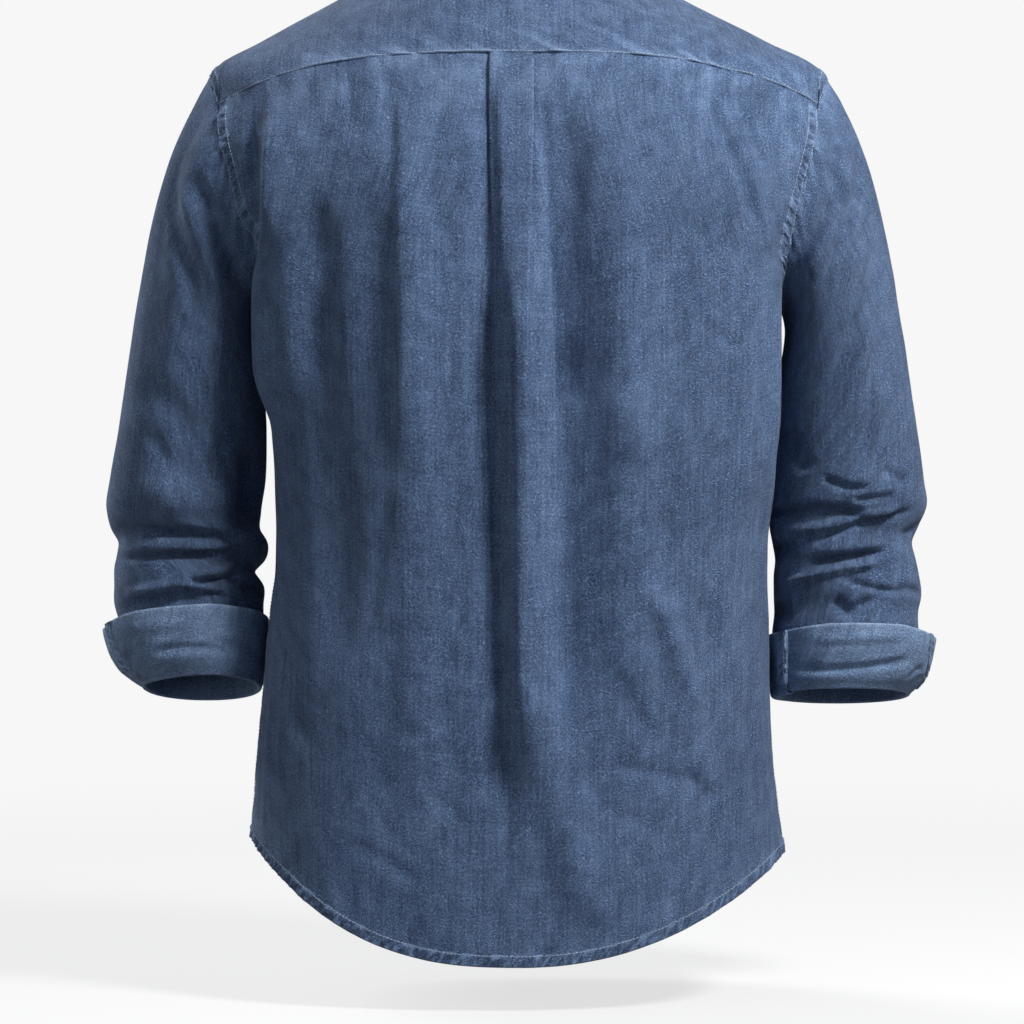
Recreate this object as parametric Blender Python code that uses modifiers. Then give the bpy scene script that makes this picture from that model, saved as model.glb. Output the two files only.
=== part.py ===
"""Casual long-sleeved button shirt, filled out and hollow, sleeves turned up.

Metres, +Z up.  The shirt's front faces -Y and the wearer's left is +X.  The
origin is the middle of the neck opening, level with the points where the
shoulders meet the neck.

A place on the body is an angle and a level.  Angles, in degrees, start at the
middle of the back and grow towards the wearer's left: 90 is the left side and
180 the middle of the front.  Levels run from 0 at the hem to 1 at the neckline.
A place on a sleeve is a turn, 0 outside, 90 behind, 180 next to the body and
270 in front, and a run, 0 at the armhole, 1 at the upper arm, 2 at the end.
"""

from collections import namedtuple

import bmesh
import bpy
import numpy as np
from mathutils import Vector

# ---------------------------------------------------------------- dimensions

CLOTH = 0.0012              # thickness of the cloth wall
GAP = 0.0003                # space between neighbouring pieces
PLY = CLOTH + GAP           # how far out the next layer of cloth lies

LEFT, RIGHT = 1, -1         # sides of the wearer, as signs of X

# Rings of the body from hem to neckline: half widths to the left and right,
# depths behind and before the side line, the heights of the ring at the
# middle of the back, at the two sides and at the middle of the front, and the
# exponent of the outline (2 is an ellipse, more is squarer).
BodyRing = namedtuple(
    "BodyRing", "level left right back front z_back z_left z_right z_front square")
BODY_RINGS = (
    BodyRing(0.000, 0.2040, 0.2040, 0.127, 0.124, -0.7666, -0.6795, -0.6890, -0.757, 2.4),
    BodyRing(0.075, 0.2005, 0.1970, 0.124, 0.122, -0.6900, -0.6250, -0.6310, -0.684, 2.4),
    BodyRing(0.185, 0.1925, 0.1925, 0.120, 0.120, -0.5820, -0.5440, -0.5470, -0.580, 2.4),
    BodyRing(0.310, 0.1870, 0.1925, 0.119, 0.119, -0.4600, -0.4450, -0.4460, -0.460, 2.5),
    BodyRing(0.425, 0.1900, 0.1965, 0.126, 0.122, -0.3480, -0.3500, -0.3500, -0.350, 2.8),
    BodyRing(0.522, 0.1940, 0.1985, 0.131, 0.123, -0.2560, -0.2700, -0.2700, -0.268, 3.0),
    BodyRing(0.560, 0.2003, 0.2035, 0.131, 0.122, -0.2230, -0.2410, -0.2410, -0.240, 2.9),
    BodyRing(0.615, 0.2286, 0.2270, 0.129, 0.119, -0.1850, -0.1980, -0.1980, -0.206, 2.8),
    BodyRing(0.680, 0.2445, 0.2425, 0.123, 0.112, -0.1440, -0.1500, -0.1500, -0.176, 2.6),
    BodyRing(0.722, 0.2395, 0.2385, 0.118, 0.107, -0.1220, -0.1220, -0.1230, -0.159, 2.45),
    BodyRing(0.764, 0.2360, 0.2365, 0.113, 0.100, -0.1020, -0.0960, -0.0970, -0.143, 2.3),
    BodyRing(0.830, 0.1965, 0.1910, 0.104, 0.089, -0.0760, -0.0700, -0.0705, -0.121, 2.2),
    BodyRing(0.910, 0.1350, 0.1255, 0.090, 0.073, -0.0450, -0.0360, -0.0370, -0.100, 2.1),
    BodyRing(1.000, 0.0740, 0.0640, 0.066, 0.060, -0.0160, 0.0000, 0.0000, -0.080, 2.0),
)
RING_RISE_LEFT, RING_RISE_RIGHT = 2.6, 2.15   # how late a ring climbs to its sides

# The armhole is an oval on the body's surface, in degrees and levels.
ARMHOLE_LEVEL, ARMHOLE_HALF_LEVEL = 0.643, 0.121
ARMHOLE_HALF_ANGLE = 32.0
YOKE_FRONT_TURN = -30.0     # where the front yoke seam meets it
YOKE_NECK_ANGLE = 112.0     # where the front yoke seam meets the neckline
YOKE_GAP_ANGLE = 0.35       # degrees that its gap takes

# Back yoke seam: its height in the middle and how far it falls towards the sides.
YOKE_SEAM_Z, YOKE_SEAM_FALL = -0.0890, 0.0345
YOKE_SEAM_HALF_WIDTH, YOKE_SEAM_CURVE = 0.228, 3.3

# Large folds of the body: a soft ridge (height above 0) or trough (below 0)
# along a line from its top to its low end.
BodyFold = namedtuple("BodyFold", "angle_top z_top angle_low z_low half_angle height")
BODY_FOLDS = (
    BodyFold(23, -0.100, 21, -0.700, 8.0, 0.0050),     # ridge left of the pleat
    BodyFold(26, -0.095, 38, -0.330, 6.0, -0.0035),    # trough towards the left blade
    BodyFold(38, -0.240, 36, -0.560, 8.0, -0.0045),
    BodyFold(66, -0.110, 62, -0.420, 9.0, 0.0055),     # rolled edge behind the left arm
    BodyFold(90, -0.180, 90, -0.520, 17.0, -0.0060),   # left side, drawn in
    BodyFold(6, -0.170, 4, -0.720, 5.5, -0.0050),      # trough left of the middle
    BodyFold(-6, -0.160, -7, -0.740, 5.0, 0.0055),     # ridge right of the middle
    BodyFold(-11, -0.100, -26, -0.560, 7.0, -0.0045),  # trough that runs to the right
    BodyFold(-30, -0.110, -42, -0.420, 9.0, 0.0040),
    BodyFold(-38, -0.080, -50, -0.230, 7.0, -0.0040),  # below the right blade
    BodyFold(-30, -0.470, -42, -0.640, 6.0, 0.0050),   # slanting ridge, low right
    BodyFold(-66, -0.110, -64, -0.420, 9.0, 0.0050),   # rolled edge behind the right arm
    BodyFold(-90, -0.180, -90, -0.520, 17.0, -0.0060), # right side, drawn in
    BodyFold(150, -0.200, 152, -0.690, 8.0, 0.0045),   # left front
    BodyFold(134, -0.260, 138, -0.600, 8.0, -0.0045),
    BodyFold(118, -0.150, 116, -0.560, 9.0, 0.0040),
    BodyFold(-148, -0.180, -151, -0.660, 8.0, 0.0045), # right front
    BodyFold(-133, -0.240, -137, -0.620, 8.0, -0.0045),
    BodyFold(-117, -0.150, -117, -0.540, 9.0, 0.0040),
)

# Box pleat.  Under the yoke the cloth runs in below a strip, folds back out to
# the strip's edge and returns as the strip: three layers a pitch apart.  Lower
# down the layers slide apart until the pleat is a ridge with sloping sides.
PLEAT_MIDDLE_X = 0.0050     # the pleat hangs a little left of the middle
PLEAT_STRIP, PLEAT_STRIP_LOW = 0.0162, 0.0120     # half the strip, shut and open
PLEAT_OVERLAP, PLEAT_SPREAD = 0.0126, 0.0120      # of its layers, shut and open
PLEAT_BORDER = 0.0400       # where the plain back begins
PLEAT_PITCH = 0.0018        # from layer to layer
PLEAT_ROUND = 0.0012        # the bulge of a folded edge
PLEAT_SHUT_Z, PLEAT_OPEN_Z, PLEAT_FLAT_Z = -0.110, -0.310, -0.450

# Sleeve rings below the upper arm, at their middle height: the sides next to
# the body and away from it, the middle and half of the depth, and how much
# higher the back of the ring is than its middle.
SleeveRing = namedtuple("SleeveRing", "z inner outer middle half_depth rise")
SLEEVE_RINGS = {
    LEFT: (
        SleeveRing(-0.335, 0.1965, 0.3035, -0.014, 0.067, 0.000),
        SleeveRing(-0.372, 0.1955, 0.3100, -0.020, 0.066, 0.002),
        SleeveRing(-0.405, 0.1970, 0.3160, -0.025, 0.066, 0.005),
        SleeveRing(-0.430, 0.2005, 0.3190, -0.028, 0.067, 0.008),
        SleeveRing(-0.4435, 0.2010, 0.3160, -0.029, 0.065, 0.009),
        SleeveRing(-0.4545, 0.1950, 0.3100, -0.029, 0.063, 0.010),
        SleeveRing(-0.4650, 0.1965, 0.3110, -0.029, 0.064, 0.010),
        SleeveRing(-0.4750, 0.2050, 0.3130, -0.029, 0.062, 0.011),
        SleeveRing(-0.4880, 0.1980, 0.3130, -0.029, 0.064, 0.011),
        SleeveRing(-0.5020, 0.1985, 0.3130, -0.029, 0.062, 0.011),
        SleeveRing(-0.5160, 0.1985, 0.3095, -0.029, 0.061, 0.011),
        SleeveRing(-0.5360, 0.1990, 0.3080, -0.029, 0.060, 0.011),
    ),
    RIGHT: (
        SleeveRing(-0.335, 0.2010, 0.3030, -0.014, 0.067, 0.000),
        SleeveRing(-0.372, 0.1990, 0.3095, -0.020, 0.066, 0.002),
        SleeveRing(-0.405, 0.1975, 0.3140, -0.025, 0.066, 0.004),
        SleeveRing(-0.427, 0.1965, 0.3165, -0.028, 0.066, 0.006),
        SleeveRing(-0.441, 0.1960, 0.3110, -0.029, 0.064, 0.007),
        SleeveRing(-0.4550, 0.1985, 0.3055, -0.029, 0.062, 0.008),
        SleeveRing(-0.4670, 0.2005, 0.3080, -0.029, 0.064, 0.008),
        SleeveRing(-0.4790, 0.1995, 0.3105, -0.029, 0.062, 0.008),
        SleeveRing(-0.4950, 0.1995, 0.3125, -0.029, 0.064, 0.008),
        SleeveRing(-0.5090, 0.2000, 0.3100, -0.029, 0.061, 0.008),
        SleeveRing(-0.5230, 0.1985, 0.3105, -0.029, 0.062, 0.008),
        SleeveRing(-0.5420, 0.1988, 0.3120, -0.029, 0.062, 0.008),
    ),
}
SLEEVE_SQUARE = 2.15
SLEEVE_SEAM = 0.0005        # gap between the edges of sleeve and body

# Large folds of a sleeve, as lines between two places; turns may pass 360.
SleeveFold = namedtuple("SleeveFold", "turn_1 z_1 turn_2 z_2 half_width height")
SLEEVE_FOLDS = {
    LEFT: (
        SleeveFold(48, -0.170, 108, -0.300, 0.012, -0.0045),
        SleeveFold(60, -0.330, 100, -0.375, 0.016, -0.0030),
        SleeveFold(150, -0.395, 150, -0.440, 0.020, -0.0070),
        SleeveFold(80, -0.412, 80, -0.420, 0.024, 0.0045),
        SleeveFold(20, -0.4445, 140, -0.4480, 0.0065, -0.0050),
        SleeveFold(40, -0.4640, 170, -0.4600, 0.0060, -0.0045),
        SleeveFold(10, -0.4780, 120, -0.4840, 0.0060, -0.0040),
        SleeveFold(60, -0.4960, 150, -0.4900, 0.0060, -0.0035),
        SleeveFold(200, -0.4480, 330, -0.4560, 0.0070, -0.0045),
        SleeveFold(220, -0.4800, 350, -0.4720, 0.0070, -0.0045),
        SleeveFold(300, -0.200, 250, -0.320, 0.014, -0.0045),
    ),
    RIGHT: (
        SleeveFold(40, -0.150, 115, -0.255, 0.012, -0.0050),
        SleeveFold(70, -0.260, 112, -0.360, 0.014, -0.0040),
        SleeveFold(85, -0.408, 75, -0.416, 0.024, 0.0040),
        SleeveFold(60, -0.4330, 165, -0.4380, 0.0070, -0.0050),
        SleeveFold(10, -0.4420, 80, -0.4600, 0.0065, -0.0050),
        SleeveFold(60, -0.4800, 150, -0.4640, 0.0065, -0.0045),
        SleeveFold(10, -0.5010, 60, -0.4860, 0.0060, -0.0040),
        SleeveFold(70, -0.4960, 100, -0.5080, 0.0060, -0.0035),
        SleeveFold(200, -0.4420, 340, -0.4500, 0.0070, -0.0045),
        SleeveFold(210, -0.4780, 330, -0.4700, 0.0070, -0.0045),
        SleeveFold(300, -0.200, 250, -0.320, 0.014, -0.0045),
    ),
}

# Turned-up cuffs: rings of the outer leg, by height above the lowest edge.
CuffRing = namedtuple("CuffRing", "height inner outer half_depth")
CUFF_RINGS = {
    LEFT: (
        CuffRing(0.000, 0.1995, 0.2925, 0.0560),
        CuffRing(0.007, 0.1972, 0.3040, 0.0605),
        CuffRing(0.019, 0.1955, 0.3140, 0.0645),
        CuffRing(0.034, 0.1942, 0.3195, 0.0665),
        CuffRing(0.053, 0.1925, 0.3210, 0.0680),
    ),
    RIGHT: (
        CuffRing(0.000, 0.1985, 0.3045, 0.0570),
        CuffRing(0.007, 0.1975, 0.3125, 0.0610),
        CuffRing(0.019, 0.1970, 0.3195, 0.0640),
        CuffRing(0.034, 0.1962, 0.3235, 0.0665),
        CuffRing(0.051, 0.1950, 0.3250, 0.0680),
    ),
}
CUFF_LOWEST_Z = {LEFT: -0.5650, RIGHT: -0.5715}
CUFF_RISE = {LEFT: 0.0125, RIGHT: 0.0085}
CUFF_MIDDLE = -0.029
CUFF_FOLD_RADIUS = 0.0016   # of the turn at the bottom
CUFF_INNER_RUN = 1.94       # how far up inside the sleeve the cloth comes
CUFF_INNER_GAP = 0.0021     # from the sleeve's middle surface to its own
CUFF_SEAM_COLUMN = 3        # the step round the sleeve where its ends lap over
CUFF_LAP_RUN = 60.0         # the turn over which the end moves out
CUFF_LAP_OUT = 0.0021

# Button placket, collar and buttons.
PLACKET_WIDTH = 0.035
PLACKET_LIFT = PLY + 0.0004
PLACKET_END_LEVEL = 0.002   # it stops just short of the hem and the neckline
UNDER_LAP = 0.0020          # how far the right front lies under the left
UNDER_LAP_FLAT, UNDER_LAP_BLEND = 0.021, 0.030    # where it comes back out
STAND_HEIGHT, STAND_FRONT_HEIGHT = 0.032, 0.026
STAND_LEAN = 0.005
STAND_SEAM = 0.0018         # the stand's foot is this far above the neckline
LEAF_SEAM = 0.0011          # and the leaf above the stand
LEAF_END_ANGLE = 166.0      # the leaf stops short of the middle of the front
LEAF_BACK_LEVEL = 0.972     # how low the leaf reaches behind
LEAF_POINT_LEVEL = 0.850    # how low its points reach
LEAF_LIFT = 0.0045          # its height over the body at its edge
LEAF_ROLL = 0.007           # how far it rolls up and out before it falls
BUTTON_RADIUS, BUTTON_THICKNESS = 0.0056, 0.0024
BUTTON_STEPS = 10
BUTTON_COUNT, TOP_BUTTON_Z, BUTTON_SPACING = 7, -0.145, 0.088

# Steps of the grids.  Pieces that meet at a seam share its steps.
SIDE_SEAM_STEPS = 16
ARMHOLE_TOP_STEPS, ARMHOLE_BACK_STEPS, ARMHOLE_FRONT_STEPS = 5, 9, 7
YOKE_FRONT_STEPS = 5
BACK_SIDE_COLUMNS, FRONT_COLUMNS, YOKE_ROWS = 12, 12, 6
CAP_ROWS, COLLAR_COLUMNS = 8, 24

COLOURS = {                 # linear red, green, blue
    "chambray": (0.115, 0.165, 0.270),
    "chambray_inside": (0.190, 0.245, 0.350),
    "button": (0.640, 0.630, 0.600),
}

# ------------------------------------------------------------------- helpers


def column(table, name):
    return np.array([getattr(row, name) for row in table], dtype=float)


def curve(knots, values, at):
    """A smooth curve through the rows of a table, read at any places."""
    at = np.asarray(at, dtype=float)
    slopes = np.gradient(values, knots)
    i = np.clip(np.searchsorted(knots, at) - 1, 0, len(knots) - 2)
    step = knots[i + 1] - knots[i]
    u = (at - knots[i]) / step
    return ((1 + 2 * u) * (1 - u) ** 2 * values[i] + u * (1 - u) ** 2 * step * slopes[i]
            + u * u * (3 - 2 * u) * values[i + 1] + u * u * (u - 1) * step * slopes[i + 1])


def smooth(x):
    x = np.clip(x, 0.0, 1.0)
    return x * x * (3 - 2 * x)


def bell(distance):
    """1 at 0, falling softly to 0 at 1."""
    return np.clip(1 - np.asarray(distance) ** 2, 0, None) ** 2


def unit(vectors):
    return vectors / np.linalg.norm(vectors, axis=-1, keepdims=True)


def degrees_sin_cos(angle):
    return np.sin(np.radians(angle)), np.cos(np.radians(angle))


def roundness(s, c, square):
    """How far an outline with this exponent lies outside its ellipse."""
    return (np.abs(s) ** square + np.abs(c) ** square) ** (-1 / square)


# ---------------------------------------------------------------------- body


def body_base(angle, level):
    """The body's surface without its folds."""
    angle, level = np.broadcast_arrays(np.asarray(angle, float), np.asarray(level, float))
    levels = column(BODY_RINGS, "level")

    def ring(name):
        return curve(levels, column(BODY_RINGS, name), level)

    s, c = degrees_sin_cos(angle)
    out = roundness(s, c, ring("square"))
    x = np.where(s >= 0, ring("left"), ring("right")) * s * out
    y = np.where(c >= 0, ring("back"), ring("front")) * c * out
    z_middle = np.where(c >= 0, ring("z_back"), ring("z_front"))
    z_side = np.where(s >= 0, ring("z_left"), ring("z_right"))
    rise = np.where(s >= 0, RING_RISE_LEFT, RING_RISE_RIGHT)
    z = z_middle + (z_side - z_middle) * np.abs(s * out) ** rise
    return np.stack([x, y, z], axis=-1)


def body_normal(angle, level):
    turn, climb = 0.05, 0.0005
    across = body_base(angle + turn, level) - body_base(angle - turn, level)
    up = body_base(angle, level + climb) - body_base(angle, level - climb)
    return unit(np.cross(up, across))


def turn_between(a, b):
    """The shorter way from one angle to the other, in degrees."""
    return (a - b + 180.0) % 360.0 - 180.0


def body_fold_height(angle, z):
    height = np.zeros_like(z)
    for fold in BODY_FOLDS:
        along = (fold.z_top - z) / (fold.z_top - fold.z_low)
        line = fold.angle_top + (fold.angle_low - fold.angle_top) * np.clip(along, 0, 1)
        ends = smooth(along / 0.22) * smooth((1 - along) / 0.22)
        height += fold.height * bell(turn_between(angle, line) / fold.half_angle) * ends
    return height


def body(angle, level, lift=0.0):
    """A point of the body's surface, with its folds, or lift above it."""
    angle, level = np.asarray(angle, float), np.asarray(level, float)
    base = body_base(angle, level)
    height = body_fold_height(angle, base[..., 2]) + lift
    return base + body_normal(angle, level) * height[..., None]


def ring_radius(level):
    """Metres for each radian of angle, near the middle of the back."""
    levels = column(BODY_RINGS, "level")
    left = curve(levels, column(BODY_RINGS, "left"), level)
    right = curve(levels, column(BODY_RINGS, "right"), level)
    return (left + right) / 2


def armhole(turn, side):
    """Angle and level on the armhole; turn is 0 at its top and 90 behind."""
    s, c = degrees_sin_cos(np.asarray(turn, float))
    angle = side * (90.0 - ARMHOLE_HALF_ANGLE * s)
    return angle, ARMHOLE_LEVEL + ARMHOLE_HALF_LEVEL * c


def yoke_seam_level(angle):
    """The level where the back yoke seam crosses an angle, by halving."""
    angle = np.asarray(angle, float)
    low, high = np.full_like(angle, 0.6), np.full_like(angle, 0.95)
    for _ in range(30):
        middle = (low + high) / 2
        point = body_base(angle, middle)
        out = np.abs(point[..., 0]) / YOKE_SEAM_HALF_WIDTH
        above = point[..., 2] > YOKE_SEAM_Z - YOKE_SEAM_FALL * out ** YOKE_SEAM_CURVE
        high = np.where(above, middle, high)
        low = np.where(above, low, middle)
    return (low + high) / 2


def corner_turn(side):
    """The armhole's turn where the back yoke seam meets it, by halving."""
    low, high = 20.0, 80.0
    for _ in range(30):
        middle = (low + high) / 2
        angle, level = armhole(middle, side)
        low, high = (middle, high) if level > yoke_seam_level(angle) else (low, middle)
    return (low + high) / 2


def blend_edges(bottom, top, left, right):
    """Places inside four edges, each a list of angle and level pairs."""
    u = np.linspace(0, 1, len(bottom))[None, :, None]
    v = np.linspace(0, 1, len(left))[:, None, None]
    across = (1 - v) * bottom[None] + v * top[None]
    upward = (1 - u) * left[:, None] + u * right[:, None]
    corners = ((1 - u) * (1 - v) * bottom[0] + u * (1 - v) * bottom[-1]
               + (1 - u) * v * top[0] + u * v * top[-1])
    return across + upward - corners


def pairs(angle, level):
    return np.stack(np.broadcast_arrays(np.asarray(angle, float), level), axis=-1)


HALF_GAP_ANGLE = 0.1        # degrees that half a seam's gap takes at the sides
HALF_GAP_LEVEL = 0.0005     # levels that it takes at the yoke
ARMPIT_LEVEL = ARMHOLE_LEVEL - ARMHOLE_HALF_LEVEL


def steps(first, last, count):
    """Even steps from first up to, but without, last."""
    return np.linspace(first, last, count + 1)[:-1]


def side_edge(side, hole_steps, last_turn):
    """Side seam from the hem, then armhole up to last_turn; 180 is its bottom."""
    towards_back = 1 if last_turn < 180 else -1
    seam_angle = side * (90.0 - towards_back * HALF_GAP_ANGLE)
    seam = pairs(seam_angle, steps(0, ARMPIT_LEVEL, SIDE_SEAM_STEPS))
    hole = pairs(*armhole(np.linspace(180, last_turn, hole_steps + 1), side))
    hole[0, 0] = seam_angle
    return np.vstack([seam, hole])


def seam_columns():
    """Angles of the back's columns at the yoke seam, right to left."""
    radius = ring_radius(yoke_seam_level(0.0))
    middle = np.degrees(PLEAT_MIDDLE_X / radius)
    strip, border = np.degrees(np.array([PLEAT_STRIP, PLEAT_BORDER]) / radius)
    right, left = (armhole(corner_turn(side), side)[0] for side in (RIGHT, LEFT))
    plain_right = steps(right, middle - border, BACK_SIDE_COLUMNS)
    plain_left = steps(left, middle + border, BACK_SIDE_COLUMNS)[::-1]
    pleat = middle + np.array([-border, -strip, 0, strip, border])
    return np.concatenate([plain_right, pleat, plain_left])


# -------------------------------------------------------------------- panels


def pleat_section(z):
    """Half of the pleat at each height: ways out from its middle, and depths."""
    shut = smooth((z - PLEAT_OPEN_Z) / (PLEAT_SHUT_Z - PLEAT_OPEN_Z))
    deep = smooth((z - PLEAT_FLAT_Z) / (PLEAT_OPEN_Z - PLEAT_FLAT_Z))
    edge = PLEAT_STRIP * shut + PLEAT_STRIP_LOW * (1 - shut)
    overlap = PLEAT_OVERLAP * shut - PLEAT_SPREAD * (1 - shut)
    fold = edge - overlap
    inset = np.minimum(PLEAT_ROUND, overlap / 3)
    step = PLEAT_PITCH / 6 * (1 - smooth(overlap / (3 * PLEAT_ROUND)))
    start = fold + PLEAT_ROUND
    ways = [0 * edge, edge / 2, edge - PLEAT_ROUND, edge, edge - inset, fold + inset, fold]
    depths = [0 * edge, 0 * edge, 0 * edge, 0.5 * PLEAT_PITCH + 0 * edge,
              PLEAT_PITCH - step, PLEAT_PITCH + step, 1.5 * PLEAT_PITCH + 0 * edge]
    for share, sunk in ((0.0, 2.0), (0.25, 2.0), (0.5, 1.4), (0.75, 0.4), (1.0, 0.0)):
        ways.append(start + (PLEAT_BORDER - start) * share)
        depths.append(sunk * PLEAT_PITCH + 0 * edge)
    return np.stack(ways, axis=-1), np.stack(depths, axis=-1) * deep[..., None]


def back_panel_points():
    """Rows from hem to yoke seam; columns right to left through the pleat."""
    sides = {side: side_edge(side, ARMHOLE_BACK_STEPS, corner_turn(side))
             for side in (RIGHT, LEFT)}
    share = np.linspace(0, 1, SIDE_SEAM_STEPS + ARMHOLE_BACK_STEPS + 1)
    middle_level = share * float(yoke_seam_level(0.0))
    radius = ring_radius(middle_level)
    middle_angle = np.degrees(PLEAT_MIDDLE_X / radius)
    way, depth = pleat_section(body_base(middle_angle, middle_level)[..., 2])

    def half(side):
        """Angles and depths from the pleat's middle to one side."""
        pleat = middle_angle[:, None] + side * np.degrees(way / radius[:, None])
        edge = sides[side][:, 0]
        outward = np.linspace(0, 1, BACK_SIDE_COLUMNS + 1)[1:]
        plain = pleat[:, -1:] + (edge - pleat[:, -1])[:, None] * outward
        return np.hstack([pleat, plain]), np.hstack([depth, np.zeros_like(plain)])

    left_angle, left_depth = half(LEFT)
    right_angle, right_depth = half(RIGHT)
    angle = np.hstack([right_angle[:, :0:-1], left_angle])
    depth = np.hstack([right_depth[:, :0:-1], left_depth])

    level = np.empty_like(angle)
    for side in (RIGHT, LEFT):
        edge = sides[side]
        here = angle >= 0 if side == LEFT else angle < 0
        out = np.clip(np.abs(angle / edge[:, :1]), 0, 1) ** 2
        row_level = middle_level[:, None] + (edge[:, 1] - middle_level)[:, None] * out
        correction = yoke_seam_level(angle[-1]) - HALF_GAP_LEVEL - row_level[-1]
        level = np.where(here, row_level + share[:, None] ** 4 * correction, level)
    return body(angle, level, -depth)


def front_panel_places(side):
    """Rows from the hem to the neckline, columns from the centre to the side.

    The side edge is the side seam, the armhole and the front yoke seam.
    """
    lower = side_edge(side, ARMHOLE_FRONT_STEPS, 360 + YOKE_FRONT_TURN)
    corner_level = lower[-1, 1]
    centre_level = np.concatenate([
        steps(0, ARMPIT_LEVEL, SIDE_SEAM_STEPS),
        steps(ARMPIT_LEVEL, corner_level + 0.02, ARMHOLE_FRONT_STEPS),
        np.linspace(corner_level + 0.02, 1 - HALF_GAP_LEVEL, YOKE_FRONT_STEPS + 1)])
    neck_end = np.array([side * YOKE_NECK_ANGLE, centre_level[-1]])
    yoke_seam = np.linspace(lower[-1], neck_end, YOKE_FRONT_STEPS + 1)
    yoke_seam[:, 0] += side * YOKE_GAP_ANGLE
    edge = np.vstack([lower[:-1], yoke_seam])
    lap = np.degrees(PLACKET_WIDTH / 2 / ring_radius(centre_level))
    centre = pairs(side * (180.0 + lap), centre_level)
    bottom = np.linspace(centre[0], edge[0], FRONT_COLUMNS + 1)
    top = np.linspace(centre[-1], edge[-1], FRONT_COLUMNS + 1)
    return blend_edges(bottom, top, centre, edge)


def front_panel_points(side):
    places = front_panel_places(side)
    angle, level = places[..., 0], places[..., 1]
    if side == LEFT:
        return body(angle, level)
    out = np.radians(180.0 - np.abs(angle)) * ring_radius(level)
    return body(angle, level, -UNDER_LAP * (1 - smooth((out - UNDER_LAP_FLAT) / UNDER_LAP_BLEND)))


def yoke_places():
    """Rows from the outer edge in to the neckline; columns right to left."""
    right, left = (pairs(*armhole(steps(YOKE_FRONT_TURN, corner_turn(side), ARMHOLE_TOP_STEPS),
                                  side)) for side in (RIGHT, LEFT))
    seam_angle = seam_columns()
    seam = pairs(seam_angle, yoke_seam_level(seam_angle) + HALF_GAP_LEVEL)
    outer = np.vstack([right, seam, left[::-1]])
    inner = pairs(np.linspace(-YOKE_NECK_ANGLE, YOKE_NECK_ANGLE, len(outer)), 1.0)
    ends = [np.linspace(outer[i], inner[i], YOKE_ROWS + 1) for i in (0, -1)]
    return blend_edges(outer, inner, ends[0], ends[1])


# ------------------------------------------------------------------- sleeves


def sleeve_ring(side, turn, z):
    """A point of the sleeve below the upper arm, without folds."""
    rings = SLEEVE_RINGS[side]
    down = -column(rings, "z")

    def ring(name):
        return curve(down, column(rings, name), -z)

    s, c = degrees_sin_cos(turn)
    out = roundness(s, c, SLEEVE_SQUARE)
    inner, outer = ring("inner"), ring("outer")
    x = (inner + outer) / 2 + (outer - inner) / 2 * c * out
    y = ring("middle") + ring("half_depth") * s * out
    return np.stack([side * x, y, z + ring("rise") * s * out], axis=-1)


def sleeve_base(side, turn, run):
    """A point of the sleeve without folds; run is 0 to 2 down the sleeve."""
    turn, run = np.broadcast_arrays(np.asarray(turn, float), np.asarray(run, float))
    top, end = SLEEVE_RINGS[side][0].z, SLEEVE_RINGS[side][-1].z
    tube = sleeve_ring(side, turn, top + (end - top) * np.clip(run - 1, 0, None))
    s, c = degrees_sin_cos(turn)
    lower = (1 - c) / 2
    leave = unit(np.stack([side * (0.48 + 0.42 * lower), 0.0 * s, 0.40 * lower - 0.84], axis=-1))
    seam = unit(body(*armhole(turn + 0.5, side)) - body(*armhole(turn - 0.5, side)))
    leave = unit(leave - np.sum(leave * seam, axis=-1, keepdims=True) * seam)
    normal = body_normal(*armhole(turn, side))
    into = side * np.cross(seam, normal)
    along, away = (np.sum(leave * way, axis=-1, keepdims=True) for way in (into, normal))
    stand_off = np.where(along > 0, SLEEVE_SEAM + CLOTH / 2 * away,
                         (SLEEVE_SEAM + CLOTH / 2 * (1 - along)) / away)
    start = body(*armhole(turn, side)) + into * stand_off
    upper = sleeve_ring(side, turn, np.full_like(run, top))
    below = sleeve_ring(side, turn, np.full_like(run, top - 0.004))
    arrive = unit(below - upper)
    length = np.linalg.norm(upper - start, axis=-1, keepdims=True)
    u = np.clip(run, 0, 1)[..., None]
    first = start + leave * length * (0.18 + 0.18 * c * c)[..., None]
    second = upper - arrive * length * 0.36
    cap = ((1 - u) ** 3 * start + 3 * u * (1 - u) ** 2 * first
           + 3 * u * u * (1 - u) * second + u ** 3 * upper)
    return np.where(run[..., None] < 1, cap, tube)


def sleeve_normal(side, turn, run):
    step_turn, step_run = 0.5, 0.002
    across = sleeve_base(side, turn + step_turn, run) - sleeve_base(side, turn - step_turn, run)
    low_run = np.clip(run - step_run, 0, None)
    down = sleeve_base(side, turn, run + step_run) - sleeve_base(side, turn, low_run)
    return unit(np.cross(down, across)) * side


def sleeve_fold_height(side, point, turn):
    """Folds are soft troughs along lines on the sleeve, by turn and height."""
    arm_radius = 0.060
    height = np.zeros(point.shape[:-1])
    for fold in SLEEVE_FOLDS[side]:
        span = np.radians(fold.turn_2 - fold.turn_1) * arm_radius
        drop = fold.z_2 - fold.z_1
        length = np.hypot(span, drop)
        across = np.radians(turn_between(turn, (fold.turn_1 + fold.turn_2) / 2)) * arm_radius
        upward = point[..., 2] - (fold.z_1 + fold.z_2) / 2
        along = (across * span + upward * drop) / length
        away = (across * drop - upward * span) / length
        ends = bell(along / (length / 2 + fold.half_width))
        height += fold.height * bell(away / fold.half_width) * ends
    return height


def sleeve(side, turn, run, lift=0.0):
    turn, run = np.broadcast_arrays(np.asarray(turn, float), np.asarray(run, float))
    base = sleeve_base(side, turn, run)
    height = sleeve_fold_height(side, base, turn) + lift
    return base + sleeve_normal(side, turn, run) * height[..., None]


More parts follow.
